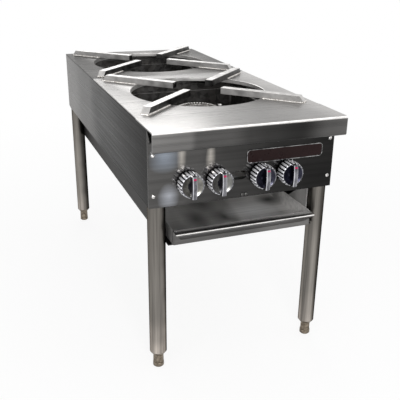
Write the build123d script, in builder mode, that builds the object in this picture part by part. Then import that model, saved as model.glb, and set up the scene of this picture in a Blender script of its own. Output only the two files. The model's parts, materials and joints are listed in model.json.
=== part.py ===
"""Two-burner gas stock pot range on four legs, in millimetres.

X runs to the right as the cook faces the control panel, Y runs to the back and Z runs up.
The origin is on the floor, under the middle of the whole range.
"""

import os
from math import copysign, sqrt

from build123d import *

os.makedirs("parts", exist_ok=True)

# ---------------------------------------------------------------- driving dimensions
body_width = 457.0  # over the side panels
body_depth = 985.0  # from the control panel's face to the back panel's face
top_height = 610.0  # cooking top above the floor
body_height = 183.0  # from the body's underside to the cooking top
sheet = 1.5  # side, back and control panels
top_sheet = 3.0  # top plates and front rail
bend_radius = 2.5  # outside of a bend in the panels
seam_gap = 0.6  # between two sheets of the top
seat_gap = 0.3  # between pieces that rest on each other
weld_gap = 0.3  # round a pipe or beside a tube

rail_overhang = 45.0  # front rail in front of the control panel
rail_overlap = 82.0  # front rail behind the control panel's face
rail_side_overhang = 2.0  # front rail past each side panel
rail_drop = 45.0  # height of the rail's front flange
rail_hem = 12.0  # turned in along the flange's lower edge
rail_bend_radius = 5.0

opening_radius = 175.0  # pot opening in each top plate
collar_depth = 10.0  # turned down round each opening
opening_edge_fillet = 2.2

bar_width = 20.0  # pot bars
bar_height = 16.0
bar_inner_radius = 68.0  # from the burner's centre to a bar's inner end
bar_side_margin = 25.5  # from the foot of a bar's sloped end to the side panel's face
bar_end_slope = 12.0  # how far the sloped end leans in over the bar's height
bar_edge_fillet = 1.2
bar_count = 4
bar_angle = 45.0

side_top_flange = 20.0
side_bottom_flange = 48.0
side_end_flange = 22.0  # behind the control panel and in front of the back panel
flange_end_relief = 5.0
rear_corner_clip_length = 36.0  # clipped lower rear corner of a side panel
rear_corner_clip_height = 6.0
cross_member_width = 30.0
cross_member_height = 20.0
cross_member_sheet = 2.0
brace_width = 40.0
brace_thickness = 3.0
brace_offset = 30.0  # behind each burner's centre

panel_top_clearance = 4.0  # control panel below the front rail
panel_flange = 18.0
knob_group_offset = -14.0  # middle of the four knobs from the middle of the range
knob_pair_spacing = 69.0
knob_group_gap = 106.0  # between the two pairs
knob_radius = 28.5
knob_skirt_depth = 26.0
knob_rim_depth = 19.0  # straight part of the skirt
knob_crown_radius = 26.0
knob_dish_radius = 23.5  # dished face inside the crown
knob_dish_depth = 5.5
knob_grip_depth = 14.0
knob_grip_end_depth = 8.0  # grip's square end in front of the crown
knob_grip_width = 12.0
knob_grip_half_length = 25.0
knob_standoff = 4.0  # knob's back in front of the panel
knob_flute_count = 20
knob_flute_depth = 2.6
knob_flute_width = 4.4
knob_wall = 2.5
knob_hub_radius = 8.0
knob_hollow_depth = 18.0
knob_bore_depth = 27.0
stem_radius = 4.0
stem_running_clearance = 0.05
stem_hole_radius = 8.0
stem_chamfer = 0.8
stem_insertion = 26.0  # stem inside the knob, from the knob's back
stem_bore_depth = 34.0
stem_end_gap = 2.0

lighting_slot_width = 36.0
lighting_slot_height = 20.0
lighting_slot_rise = 3.0  # slot's centre above the valve axes
nameplate_width = 195.0
nameplate_height = 32.0
nameplate_thickness = 2.0
nameplate_left = 2.5  # its left end from the middle of the range
nameplate_rise = 28.8  # its lower edge above the valve axes
nameplate_rim = 1.6
nameplate_recess = 0.6
nameplate_corner = 3.0

screw_head_radius = 4.6
screw_head_height = 2.6
screw_head_taper = 40.0
screw_shank_radius = 2.4
screw_hole_clearance = 0.2
screw_length = 9.0
small_screw_length = 6.0
panel_screw_inset = 11.5  # from the body's side
panel_screw_drop = 62.0  # upper screws below the cooking top
panel_screw_rise = 28.0  # lower screws above the body's underside
small_screw_spacing = 9.4
small_screw_rise = 6.0
back_screw_row_count = 3

leg_radius = 20.65  # 1 5/8 inch tube
leg_wall = 1.6
leg_side_inset = 2.8  # leg inside the side panel's face
foot_height = 34.0
foot_top_radius = 12.6
foot_bottom_radius = 13.5
foot_edge_chamfer = 2.5
foot_flat_width = 23.5
foot_flat_height = 22.0
foot_stem_radius = 8.0
foot_stem_length = 62.0
foot_running_clearance = 0.08
foot_insert_gap = 1.0
insert_shoulder_height = 9.0
insert_nose_radius = 14.0
insert_plug_length = 30.0
insert_clearance = 0.1
socket_plug_length = 40.0
stud_radius = 8.0
stud_length = 22.0
stud_hole_radius = 8.5
stud_nut_radius = 13.8
stud_nut_height = 13.0
washer_radius = 17.0
washer_thickness = 3.0

guide_inset = 38.5  # tray guide's outer face inside the side panel's face
guide_bottom = 331.7
guide_flange = 22.0
guide_leg_relief = 15.0  # guide's web clear of the leg's centre
gusset_thickness = 2.4
gusset_length = 122.0
gusset_nose = 6.0
gusset_leg_offset = 33.0  # gusset's upright edge from the control panel's face
gusset_edge_gap = 3.0

tray_side_gap = 15.0  # from the tray's side to the guide's outer face
tray_depth = 965.0
tray_wall_height = 36.5
tray_sheet = 1.2
tray_face_offset = 8.0  # tray's front wall in front of the control panel
tray_corner_radius = 4.0
tray_lip_reach = 22.0
tray_lip_drop = 2.5
tray_lip_return = 24.0  # lower edge of the folded lip below the tray's rim
tray_lip_radius = 1.6
tray_lip_end_cut = 19.0
tray_lip_cut_height = 26.0

chamber_side_gap = 34.5  # burner chamber liner inside the side panel's face
chamber_end_gap = 12.0  # from the liner to the top seams
chamber_top_drop = 28.0  # liner's upper edge below the cooking top
chamber_ledge_drop = 48.0
chamber_ledge_width = 8.0
chamber_sheet = 1.2
chamber_corner = 6.0
chamber_tab_offset = 16.0
chamber_tab_width = 6.0
chamber_tab_height = 18.0

ring_inner_radius = 74.0
ring_outer_radius = 122.0
ring_height = 39.0
ring_shoulder_height = 30.0
ring_valley_height = 26.0
ring_outer_ridge = 112.0
ring_inner_ridge = 84.0
ring_valley_radius = 98.0
ridge_half_width = 4.5
ring_outer_port_count = 24
ring_inner_port_count = 16
head_radius = 54.0
head_neck_radius = 30.0
head_dish_radius = 22.0
head_socket_depth = 10.0
head_bowl_height = 34.0
head_skirt_height = 44.0
head_shoulder_height = 50.0
head_dish_height = 48.0
head_height = 58.0
head_tooth_circle_radius = 49.0
head_tooth_count = 40
head_tooth_length = 8.0
head_tooth_width = 3.8
head_tooth_height = 6.0
port_radius = 3.6
port_side_count = 6
port_height = 4.0
lug_reach = 8.0
lug_height = 10.0
head_arm_width = 14.0
head_arm_thickness = 8.0
head_arm_gap = 1.0  # from an arm's end to the ring
support_bar_width = 35.0
support_bar_thickness = 4.0
support_bar_spacing = 180.0
support_tab_height = 22.0

mixer_radius = 17.0
mixer_wall = 2.0
mixer_mouth_radius = 22.0
mixer_mouth_length = 26.0
mixer_mouth_offset = 80.0  # mixer mouths behind the control panel's face
mixer_jog_start_offset = 170.0  # where a tube turns sideways, in front of its burner's centre
mixer_jog_end_offset = 60.0
mixer_bend_radius = 22.0
mixer_end_straight = 1.7
ring_inlet_radius = 98.0  # where an outer ring takes its gas
ring_inlet_depth = 14.0
shutter_thickness = 1.5
shutter_bore_radius = 9.5
shutter_slot_circle_radius = 15.5
shutter_slot_count = 3
shutter_slot_length = 13.0
shutter_slot_width = 5.0

pipe_radius = 13.35  # 3/4 inch pipe
pipe_bore_radius = 10.5
pipe_engagement = 12.0
manifold_offset = 44.0  # manifold axis behind the control panel's face
manifold_end_inset = 63.5  # manifold's left end inside the side panel's face
manifold_cap_length = 16.0
supply_side_inset = 68.5  # supply pipe inside the side panel's face
fitting_radius = 17.5
fitting_length = 26.0
valve_boss_radius = 9.0
valve_boss_rise = 16.0  # boss face above the manifold's axis
valve_nipple_radius = 6.0
valve_neck_length = 4.25  # from the boss to the underside of the valve's body
valve_front_offset = 14.0
valve_body_length = 44.0
valve_body_radius = 12.0
valve_bonnet_radius = 7.5
valve_bonnet_length = 8.0
valve_flange_length = 38.0
valve_flange_width = 26.0
valve_flange_thickness = 4.0
hood_across_flats = 13.0
hood_length = 13.0
hood_tip_radius = 4.0
hood_tip_length = 4.0
inlet_projection = 25.0  # gas inlet behind the back panel
inlet_thread_radius = 13.1
inlet_thread_length = 20.0
inlet_hole_clearance = 1.0
inlet_bore_depth = 30.0

pilot_tube_radius = 3.2
pilot_bend_radius = 12.0
pilot_offset = 63.0  # pilot heads from the burner's centre
pilot_rear_offset = 80.0  # rear pilot tubes' run from the middle of the range
pilot_jog = 46.0
pilot_head_radius = 5.5
pilot_head_height = 12.0
pilot_top_drop = 40.0
pilot_boss_radius = 5.0
pilot_boss_length = 18.0

# ---------------------------------------------------------------- derived places
overall_depth = rail_overhang + body_depth + inlet_projection
panel_y = -overall_depth / 2 + rail_overhang
back_y = panel_y + body_depth
side_x = body_width / 2
guide_outer_offset = side_x - guide_inset
gusset_offset = guide_outer_offset - sheet - seat_gap - gusset_thickness / 2
tray_half_width = guide_outer_offset - tray_side_gap
chamber_half_width = side_x - chamber_side_gap
bar_outer_radius = (side_x - bar_side_margin) * sqrt(2)
supply_x = side_x - supply_side_inset
manifold_left = manifold_end_inset - side_x
under_z = top_height - body_height
plate_bottom = top_height - top_sheet
side_top = plate_bottom - seat_gap
panel_top_z = plate_bottom - panel_top_clearance
rail_front_y = panel_y - rail_overhang
rail_back_y = panel_y + rail_overlap
rail_half_width = side_x + rail_side_overhang
middle_seam_y = (rail_back_y + back_y) / 2
burner_ys = {
    "front": (rail_back_y + middle_seam_y) / 2,
    "rear": (middle_seam_y + back_y) / 2,
}
plate_spans = {
    "front": (rail_back_y + seam_gap, middle_seam_y - seam_gap / 2),
    "rear": (middle_seam_y + seam_gap / 2, back_y),
}
knob_xs = {
    "front_outer": knob_group_offset - knob_group_gap / 2 - knob_pair_spacing,
    "front_inner": knob_group_offset - knob_group_gap / 2,
    "rear_inner": knob_group_offset + knob_group_gap / 2,
    "rear_outer": knob_group_offset + knob_group_gap / 2 + knob_pair_spacing,
}
leg_x = side_x - leg_side_inset - leg_radius
leg_ys = {"front": panel_y + leg_radius, "rear": back_y - leg_radius}
leg_places = {
    f"{end}_{side}": (hand * leg_x, leg_y)
    for end, leg_y in leg_ys.items()
    for side, hand in (("left", -1), ("right", 1))
}
leg_bottom = foot_height + foot_insert_gap + insert_shoulder_height
leg_top = under_z - seat_gap
leg_bore_radius = leg_radius - leg_wall
guide_top = under_z - seat_gap
tray_bottom_z = guide_bottom + sheet + seat_gap
tray_rim_z = tray_bottom_z + tray_wall_height
tray_front_y = panel_y - tray_face_offset
manifold_y = panel_y + manifold_offset
brace_z = under_z + sheet + seat_gap
manifold_z = brace_z + brace_thickness + seat_gap + pipe_radius
valve_seat_z = manifold_z + valve_boss_rise + seat_gap
knob_height = valve_seat_z + valve_neck_length + valve_body_radius
burner_base_z = knob_height + mixer_bend_radius + mixer_end_straight + seat_gap
lighting_slot_z = knob_height + lighting_slot_rise
nameplate_bottom = knob_height + nameplate_rise
supply_pipe_start = manifold_y + fitting_length - pipe_engagement + seat_gap
mixer_mouth_y = panel_y + mixer_mouth_offset
stem_front_y = panel_y - knob_standoff - stem_insertion
stem_back_y = panel_y + valve_front_offset - valve_bonnet_length + stem_bore_depth - stem_end_gap
chamber_top_z = top_height - chamber_top_drop
chamber_ledge_z = top_height - chamber_ledge_drop
chamber_bottom_z = burner_base_z + seat_gap
pilot_start_y = manifold_y + pilot_boss_length + seat_gap
pilot_head_base_z = top_height - pilot_top_drop - pilot_head_height
pilot_run_offsets = {"front": pilot_offset, "rear": pilot_rear_offset}
pilot_tap_xs = [hand * run_offset for run_offset in pilot_run_offsets.values() for hand in (-1, 1)]
screw_hole_radius = screw_shank_radius + screw_hole_clearance
panel_screw_x = side_x - panel_screw_inset
panel_screw_zs = (under_z + panel_screw_rise, top_height - panel_screw_drop)
panel_return_half_width = side_x - side_bottom_flange - seat_gap
back_half_width = side_x - sheet - seat_gap
back_lower_edge = under_z + sheet + seat_gap
back_upper_edge = side_top - sheet - seat_gap
back_screw_pitch = (side_top - under_z - 2 * panel_screw_rise) / (back_screw_row_count - 1)
back_screw_zs = [under_z + panel_screw_rise + row * back_screw_pitch for row in range(back_screw_row_count)]
cross_member_half_length = side_x - side_top_flange - seat_gap
support_half_length = back_half_width - support_bar_thickness / 2
upward = (Align.CENTER, Align.CENTER, Align.MIN)
downward = (Align.CENTER, Align.CENTER, Align.MAX)


def write(piece, name):
    """Label a finished piece and write its STEP file."""
    piece.part.label = name
    export_step(piece.part, f"parts/{name}.step")


def across(y):
    """Upright plane across the range, drawn in X and Z; negative extrusions run to the back."""
    return Plane.XZ.offset(-y)


def along(x):
    """Upright plane along the range, drawn in Y and Z; extrusions run to the right."""
    return Plane.YZ.offset(x)


# ---------------------------------------------------------------- side panels
def side_panel(hand):
    """One bent side: web, top and bottom flanges, and flanges for the front and back panels."""
    front_y = panel_y + sheet
    flange_ys = (front_y, back_y - 2 * sheet - seat_gap)
    with BuildPart() as panel:
        with BuildSketch(across(front_y)):
            with BuildLine():
                FilletPolyline(
                    (hand * (side_x - side_top_flange), side_top - sheet / 2),
                    (hand * (side_x - sheet / 2), side_top - sheet / 2),
                    (hand * (side_x - sheet / 2), under_z + sheet / 2),
                    (hand * (side_x - side_bottom_flange), under_z + sheet / 2),
                    radius=bend_radius - sheet / 2,
                )
            trace(line_width=sheet)
        extrude(amount=front_y - back_y)
        for flange_y in flange_ys:
            with BuildSketch(across(flange_y)):
                with Locations((hand * (side_x - side_end_flange / 2 - sheet / 2), (side_top + under_z) / 2)):
                    Rectangle(side_end_flange - sheet, side_top - under_z - 2 * flange_end_relief)
            extrude(amount=-sheet)
        with BuildSketch(along(hand * side_x)):
            with BuildLine():
                Polyline(
                    (back_y, under_z),
                    (back_y, under_z + rear_corner_clip_height),
                    (back_y - rear_corner_clip_length, under_z),
                    close=True,
                )
            make_face()
        extrude(amount=bend_radius, both=True, mode=Mode.SUBTRACT)
        for flange_y, screw_zs in zip(flange_ys, (panel_screw_zs, back_screw_zs)):
            with BuildSketch(across(flange_y)):
                with Locations(*[(hand * panel_screw_x, screw_z) for screw_z in screw_zs]):
                    Circle(screw_hole_radius)
            extrude(amount=-sheet, mode=Mode.SUBTRACT)
        with BuildSketch(Plane.XY.offset(under_z)):
            with Locations(*[(hand * leg_x, leg_y) for leg_y in leg_ys.values()]):
                Circle(stud_hole_radius)
        extrude(amount=sheet, mode=Mode.SUBTRACT)
    return panel


write(side_panel(-1), "side_panel_left")
write(side_panel(1), "side_panel_right")

# ---------------------------------------------------------------- back panel
with BuildPart() as back_panel:
    with BuildSketch(along(-back_half_width)):
        with BuildLine():
            FilletPolyline(
                (back_y - panel_flange, back_upper_edge - sheet / 2),
                (back_y - sheet / 2, back_upper_edge - sheet / 2),
                (back_y - sheet / 2, back_lower_edge + sheet / 2),
                (back_y - panel_flange, back_lower_edge + sheet / 2),
                radius=bend_radius - sheet / 2,
            )
        trace(line_width=sheet)
    extrude(amount=2 * back_half_width)
    with BuildSketch(across(back_y - sheet)):
        with Locations((supply_x, manifold_z)):
            Circle(pipe_radius + inlet_hole_clearance)
        with Locations(*[(x, z) for x in (-panel_screw_x, panel_screw_x) for z in back_screw_zs]):
            Circle(screw_hole_radius)
    extrude(amount=-sheet, mode=Mode.SUBTRACT)
    with BuildSketch(Plane.XY.offset(back_lower_edge)):
        with Locations((0, back_y - (panel_flange + bend_radius) / 2)):
            with GridLocations(back_half_width + panel_return_half_width, 0, 2, 1):
                Rectangle(back_half_width - panel_return_half_width, panel_flange - bend_radius)
    extrude(amount=back_upper_edge - back_lower_edge, mode=Mode.SUBTRACT)
write(back_panel, "back_panel")

# ---------------------------------------------------------------- control panel
with BuildPart() as control_panel:
    with BuildSketch(across(panel_y)):
        with Locations((0, (under_z + panel_top_z) / 2)):
            Rectangle(body_width, panel_top_z - under_z)
        with Locations(*[(x, knob_height) for x in knob_xs.values()]):
            Circle(stem_hole_radius, mode=Mode.SUBTRACT)
        with Locations((knob_group_offset, lighting_slot_z)):
            SlotOverall(lighting_slot_width, lighting_slot_height, mode=Mode.SUBTRACT)
        with Locations(*[(x, z) for x in (-panel_screw_x, panel_screw_x) for z in panel_screw_zs]):
            Circle(screw_hole_radius, mode=Mode.SUBTRACT)
        with Locations((0, under_z + small_screw_rise)):
            with GridLocations(small_screw_spacing, 0, 2, 1):
                Circle(screw_hole_radius, mode=Mode.SUBTRACT)
    extrude(amount=-sheet)
    with BuildSketch(across(panel_y + sheet)):
        with Locations((0, under_z + sheet / 2), (0, panel_top_z - sheet / 2)):
            Rectangle(2 * panel_return_half_width, sheet)
    extrude(amount=-panel_flange)
write(control_panel, "control_panel")

# ---------------------------------------------------------------- front rail
with BuildPart() as front_rail:
    with BuildSketch(along(-rail_half_width)):
        with BuildLine():
            FilletPolyline(
                (rail_back_y, top_height - top_sheet / 2),
                (rail_front_y + top_sheet / 2, top_height - top_sheet / 2),
                (rail_front_y + top_sheet / 2, top_height - rail_drop + top_sheet / 2),
                (rail_front_y + rail_hem, top_height - rail_drop + top_sheet / 2),
                radius=rail_bend_radius - top_sheet / 2,
            )
        trace(line_width=top_sheet)
    extrude(amount=2 * rail_half_width)
write(front_rail, "front_rail")


# ---------------------------------------------------------------- top plates and pot bars
def top_plate(place):
    """Heavy plate with a round pot opening and its collar turned down."""
    near_y, far_y = plate_spans[place]
    with BuildPart() as plate:
        with BuildSketch(Plane.XY.offset(plate_bottom)):
            with Locations((0, (near_y + far_y) / 2)):
                Rectangle(body_width, far_y - near_y)
        extrude(amount=top_sheet)
        with Locations((0, burner_ys[place], top_height)):
            Cylinder(opening_radius + top_sheet, collar_depth, align=downward)
            Hole(opening_radius, depth=2 * collar_depth)
        rim = plate.edges().filter_by(GeomType.CIRCLE).group_by(Axis.Z)[-1]
        fillet(rim, opening_edge_fillet)
    return plate


def pot_bar():
    """One bar from the burner's middle outward along X, standing on the cooking top."""
    with BuildPart() as bar:
        with BuildSketch(Plane.XZ):
            with BuildLine():
                Polyline(
                    (bar_inner_radius, 0),
                    (bar_outer_radius, 0),
                    (bar_outer_radius - bar_end_slope, bar_height),
                    (bar_inner_radius, bar_height),
                    close=True,
                )
            make_face()
        extrude(amount=bar_width / 2, both=True)
        fillet(bar.faces().sort_by(Axis.Z)[-1].edges(), bar_edge_fillet)
    return bar


def pot_bars(place):
    """The bars over one burner, on the diagonals."""
    with BuildPart() as bars:
        with Locations((0, burner_ys[place], top_height)):
            with PolarLocations(0, bar_count, start_angle=bar_angle):
                add(pot_bar().part)
    return bars


for place in burner_ys:
    write(top_plate(place), f"top_plate_{place}")
    write(pot_bars(place), f"pot_bars_{place}")

# ---------------------------------------------------------------- members under the top
with BuildPart() as top_cross_members:
    for seam_y in (rail_back_y, middle_seam_y):
        with BuildSketch(along(-cross_member_half_length)):
            with BuildLine():
                FilletPolyline(
                    (seam_y + cross_member_width / 2, side_top - cross_member_sheet / 2),
                    (seam_y - cross_member_width / 2, side_top - cross_member_sheet / 2),
                    (seam_y - cross_member_width / 2, side_top - cross_member_height),
                    radius=bend_radius - cross_member_sheet / 2,
                )
            trace(line_width=cross_member_sheet)
        extrude(amount=2 * cross_member_half_length)
write(top_cross_members, "top_cross_members")

with BuildPart() as bottom_braces:
    with BuildSketch(Plane.XY.offset(brace_z)):
        with Locations(*[(0, burner_y + brace_offset) for burner_y in burner_ys.values()]):
            Rectangle(2 * back_half_width, brace_width)
    extrude(amount=brace_thickness)
write(bottom_braces, "bottom_braces")


# ---------------------------------------------------------------- burner chambers
def liner(place):
    """Stepped sheet box open above and below, with a ledge inside and flanges to the sides."""
    near_y = plate_spans[place][0] + chamber_end_gap
    far_y = plate_spans[place][1] - chamber_end_gap
    middle_y = (near_y + far_y) / 2
    upper_length = far_y - near_y
    lower_length = upper_length - 2 * chamber_ledge_width
    lower_half_width = chamber_half_width - chamber_ledge_width
    with BuildPart() as box:
        with BuildSketch(Plane.XY.offset(chamber_ledge_z)):
            with Locations((0, middle_y)):
                RectangleRounded(2 * chamber_half_width, upper_length, chamber_corner)
                offset(amount=-chamber_sheet, mode=Mode.SUBTRACT)
        extrude(amount=chamber_top_z - chamber_ledge_z)
        with BuildSketch(Plane.XY.offset(chamber_ledge_z)):
            with Locations((0, middle_y)):
                RectangleRounded(2 * chamber_half_width, upper_length, chamber_corner)
                RectangleRounded(
                    2 * (lower_half_width - chamber_sheet),
                    lower_length - 2 * chamber_sheet,
                    chamber_corner,
                    mode=Mode.SUBTRACT,
                )
        extrude(amount=chamber_sheet)
        with BuildSketch(Plane.XY.offset(chamber_bottom_z)):
            with Locations((0, middle_y)):
                RectangleRounded(2 * lower_half_width, lower_length, chamber_corner)
                RectangleRounded(
                    2 * (lower_half_width - chamber_sheet),
                    lower_length - 2 * chamber_sheet,
                    chamber_corner,
                    mode=Mode.SUBTRACT,
                )
        extrude(amount=chamber_ledge_z - chamber_bottom_z)
        with BuildSketch(Plane.XY.offset(chamber_top_z - chamber_sheet)):
            with Locations((0, middle_y)):
                with GridLocations(chamber_half_width + back_half_width, 0, 2, 1):
                    Rectangle(back_half_width - chamber_half_width, upper_length - 2 * chamber_corner)
        extrude(amount=chamber_sheet)
        with BuildSketch(across(far_y - chamber_sheet)):
            with Locations((chamber_tab_offset, chamber_top_z)):
                Rectangle(chamber_tab_width, chamber_tab_height, align=(Align.CENTER, Align.MIN))
        extrude(amount=-chamber_sheet)
    return box


with BuildPart() as burner_supports:
    for burner_y in burner_ys.values():
        for bar_y in (burner_y - support_bar_spacing / 2, burner_y + support_bar_spacing / 2):
            with BuildSketch(across(bar_y - support_bar_width / 2)):
                with BuildLine():
                    FilletPolyline(
                        (-support_half_length, burner_base_z + support_tab_height),
                        (-support_half_length, burner_base_z - support_bar_thickness / 2),
                        (support_half_length, burner_base_z - support_bar_thickness / 2),
                        (support_half_length, burner_base_z + support_tab_height),
                        radius=support_bar_thickness,
                    )
                trace(line_width=support_bar_thickness)
            extrude(amount=-support_bar_width)
write(burner_supports, "burner_supports")


# ---------------------------------------------------------------- burner castings
def burner_ring(hand):
    """Outer ring casting: two ridges with ports, a valley, lugs for the head and an inlet below."""
    with BuildPart() as ring:
        with BuildSketch(Plane.XZ):
            with BuildLine():
                Polyline(
                    (ring_inner_radius, 0),
                    (ring_outer_radius, 0),
                    (ring_outer_radius, ring_shoulder_height),
                    (ring_outer_ridge + ridge_half_width, ring_height),
                    (ring_outer_ridge - ridge_half_width, ring_height),
                    (ring_valley_radius, ring_valley_height),
                    (ring_inner_ridge + ridge_half_width, ring_height),
                    (ring_inner_ridge - ridge_half_width, ring_height),
                    (ring_inner_radius, ring_shoulder_height),
                    close=True,
                )
            make_face()
        revolve(axis=Axis.Z)
        with BuildSketch(Plane.XY.offset(ring_height)):
            with PolarLocations(ring_outer_ridge, ring_outer_port_count):
                RegularPolygon(port_radius, port_side_count)
            with PolarLocations(ring_inner_ridge, ring_inner_port_count):
                RegularPolygon(port_radius, port_side_count)
        extrude(amount=port_height)
        with PolarLocations(ring_inner_radius, bar_count, start_angle=bar_angle):
            Box(lug_reach * 2, head_arm_width, lug_height, align=upward)
        with Locations((hand * ring_inlet_radius, 0, 0)):
            Cylinder(mixer_radius - mixer_wall, ring_inlet_depth, align=upward, mode=Mode.SUBTRACT)
    return ring


def burner_head():
    """Inner head casting: a dished cap crowned with teeth, a socket below and four arms onto the ring's lugs."""
    body_base = lug_height + seat_gap
    with BuildPart() as head:
        with BuildSketch(Plane.XZ):
            with BuildLine():
                Polyline(
                    (0, body_base),
                    (head_neck_radius, body_base),
                    (head_neck_radius, head_bowl_height),
                    (head_radius, head_skirt_height),
                    (head_radius, head_shoulder_height),
                    (head_tooth_circle_radius + ridge_half_width, head_height),
                    (head_tooth_circle_radius - ridge_half_width, head_height),
                    (head_dish_radius, head_dish_height),
                    (0, head_dish_height),
                    close=True,
                )
            make_face()
        revolve(axis=Axis.Z)
        with BuildSketch(Plane.XY.offset(head_height)):
            with PolarLocations(head_tooth_circle_radius, head_tooth_count):
                Rectangle(head_tooth_length, head_tooth_width)
        extrude(amount=head_tooth_height)
        with PolarLocations(head_neck_radius / 2, bar_count, start_angle=bar_angle):
            with Locations((0, 0, body_base)):
                Box(
                    ring_inner_radius - head_arm_gap - head_neck_radius / 2,
                    head_arm_width,
                    head_arm_thickness,
                    align=(Align.MIN, Align.CENTER, Align.MIN),
                )
        with Locations((0, 0, body_base)):
            Cylinder(mixer_radius + seat_gap, head_socket_depth, align=upward, mode=Mode.SUBTRACT)
    return head


for place, burner_y in burner_ys.items():
    write(liner(place), f"liner_{place}")
    inlet_hand = copysign(1, knob_xs[f"{place}_outer"])
    castings = {"burner_ring": burner_ring(inlet_hand), "burner_head": burner_head()}
    for name, casting in castings.items():
        with BuildPart() as placed:
            with Locations((0, burner_y, burner_base_z)):
                add(casting.part)
        write(placed, f"{name}_{place}")


# ---------------------------------------------------------------- mixer tubes, shutters and hoods
def mixer_tube(name):
    """Curved tube from a bell mouth behind the valve to the casting it feeds."""
    place, circuit = name.split("_")
    start_x = knob_xs[name]
    bell_end_y = mixer_mouth_y + mixer_mouth_length
    if circuit == "outer":
        end_x = copysign(ring_inlet_radius, start_x)
        end_z = burner_base_z - seat_gap
    else:
        end_x = 0
        end_z = burner_base_z + lug_height + head_socket_depth
    with BuildPart() as tube:
        with Locations(across(mixer_mouth_y)):
            with Locations((start_x, knob_height)):
                Cone(mixer_radius, mixer_mouth_radius, mixer_mouth_length, align=downward)
                Cone(
                    mixer_radius - mixer_wall,
                    mixer_mouth_radius - mixer_wall,
                    mixer_mouth_length,
                    align=downward,
                    mode=Mode.SUBTRACT,
                )
        with BuildLine() as path:
            FilletPolyline(
                (start_x, bell_end_y, knob_height),
                (start_x, burner_ys[place] - mixer_jog_start_offset, knob_height),
                (end_x, burner_ys[place] - mixer_jog_end_offset, knob_height),
                (end_x, burner_ys[place], knob_height),
                (end_x, burner_ys[place], end_z),
                radius=mixer_bend_radius,
            )
        with BuildSketch(across(bell_end_y)):
            with Locations((start_x, knob_height)):
                Circle(mixer_radius)
                Circle(mixer_radius - mixer_wall, mode=Mode.SUBTRACT)
        sweep(path=path.line)
    return tube


for name in knob_xs:
    write(mixer_tube(name), f"mixer_tube_{name}")

with BuildPart() as air_shutters:
    with BuildSketch(across(mixer_mouth_y - seat_gap - shutter_thickness)):
        for knob_x in knob_xs.values():
            with Locations((knob_x, knob_height)):
                Circle(mixer_mouth_radius)
                Circle(shutter_bore_radius, mode=Mode.SUBTRACT)
                with PolarLocations(shutter_slot_circle_radius, shutter_slot_count):
                    Rectangle(shutter_slot_width, shutter_slot_length, mode=Mode.SUBTRACT)
    extrude(amount=-shutter_thickness)
write(air_shutters, "air_shutters")

with BuildPart() as orifice_hoods:
    hood_y = panel_y + valve_front_offset + valve_body_length + seat_gap
    with BuildSketch(across(hood_y)):
        with Locations(*[(knob_x, knob_height) for knob_x in knob_xs.values()]):
            RegularPolygon(hood_across_flats / 2, 6, major_radius=False)
    extrude(amount=-hood_length)
    with BuildSketch(across(hood_y + hood_length)):
        with Locations(*[(knob_x, knob_height) for knob_x in knob_xs.values()]):
            Circle(hood_tip_radius)
    extrude(amount=-hood_tip_length)
write(orifice_hoods, "orifice_hoods")


# ---------------------------------------------------------------- valves, stems and knobs
def gas_valve(knob_x):
    """Brass valve over the manifold: oval flange, stem housing, body and a nipple down."""
    front_y = panel_y + valve_front_offset
    with BuildPart() as valve:
        with BuildSketch(across(front_y)):
            with Locations((knob_x, knob_height)):
                Circle(valve_body_radius)
        extrude(amount=-valve_body_length)
        with BuildSketch(across(front_y)):
            with Locations((knob_x, knob_height)):
                SlotOverall(valve_flange_length, valve_flange_width)
        extrude(amount=-valve_flange_thickness)
        with BuildSketch(across(front_y)):
            with Locations((knob_x, knob_height)):
                Circle(valve_bonnet_radius)
        extrude(amount=valve_bonnet_length)
        with Locations((knob_x, manifold_y, valve_seat_z)):
            Cylinder(valve_nipple_radius, knob_height - valve_seat_z, align=upward)
        with BuildSketch(across(front_y - valve_bonnet_length)):
            with Locations((knob_x, knob_height)):
                Circle(stem_radius + stem_running_clearance)
        extrude(amount=-stem_bore_depth, mode=Mode.SUBTRACT)
    return valve


def stem(knob_x):
    """Valve stem from inside the valve to inside the knob."""
    with BuildPart() as rod:
        with BuildSketch(across(stem_front_y)):
            with Locations((knob_x, knob_height)):
                Circle(stem_radius)
        extrude(amount=stem_front_y - stem_back_y)
        chamfer(rod.faces().sort_by(Axis.Y)[0].edges(), stem_chamfer)
    return rod


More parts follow.
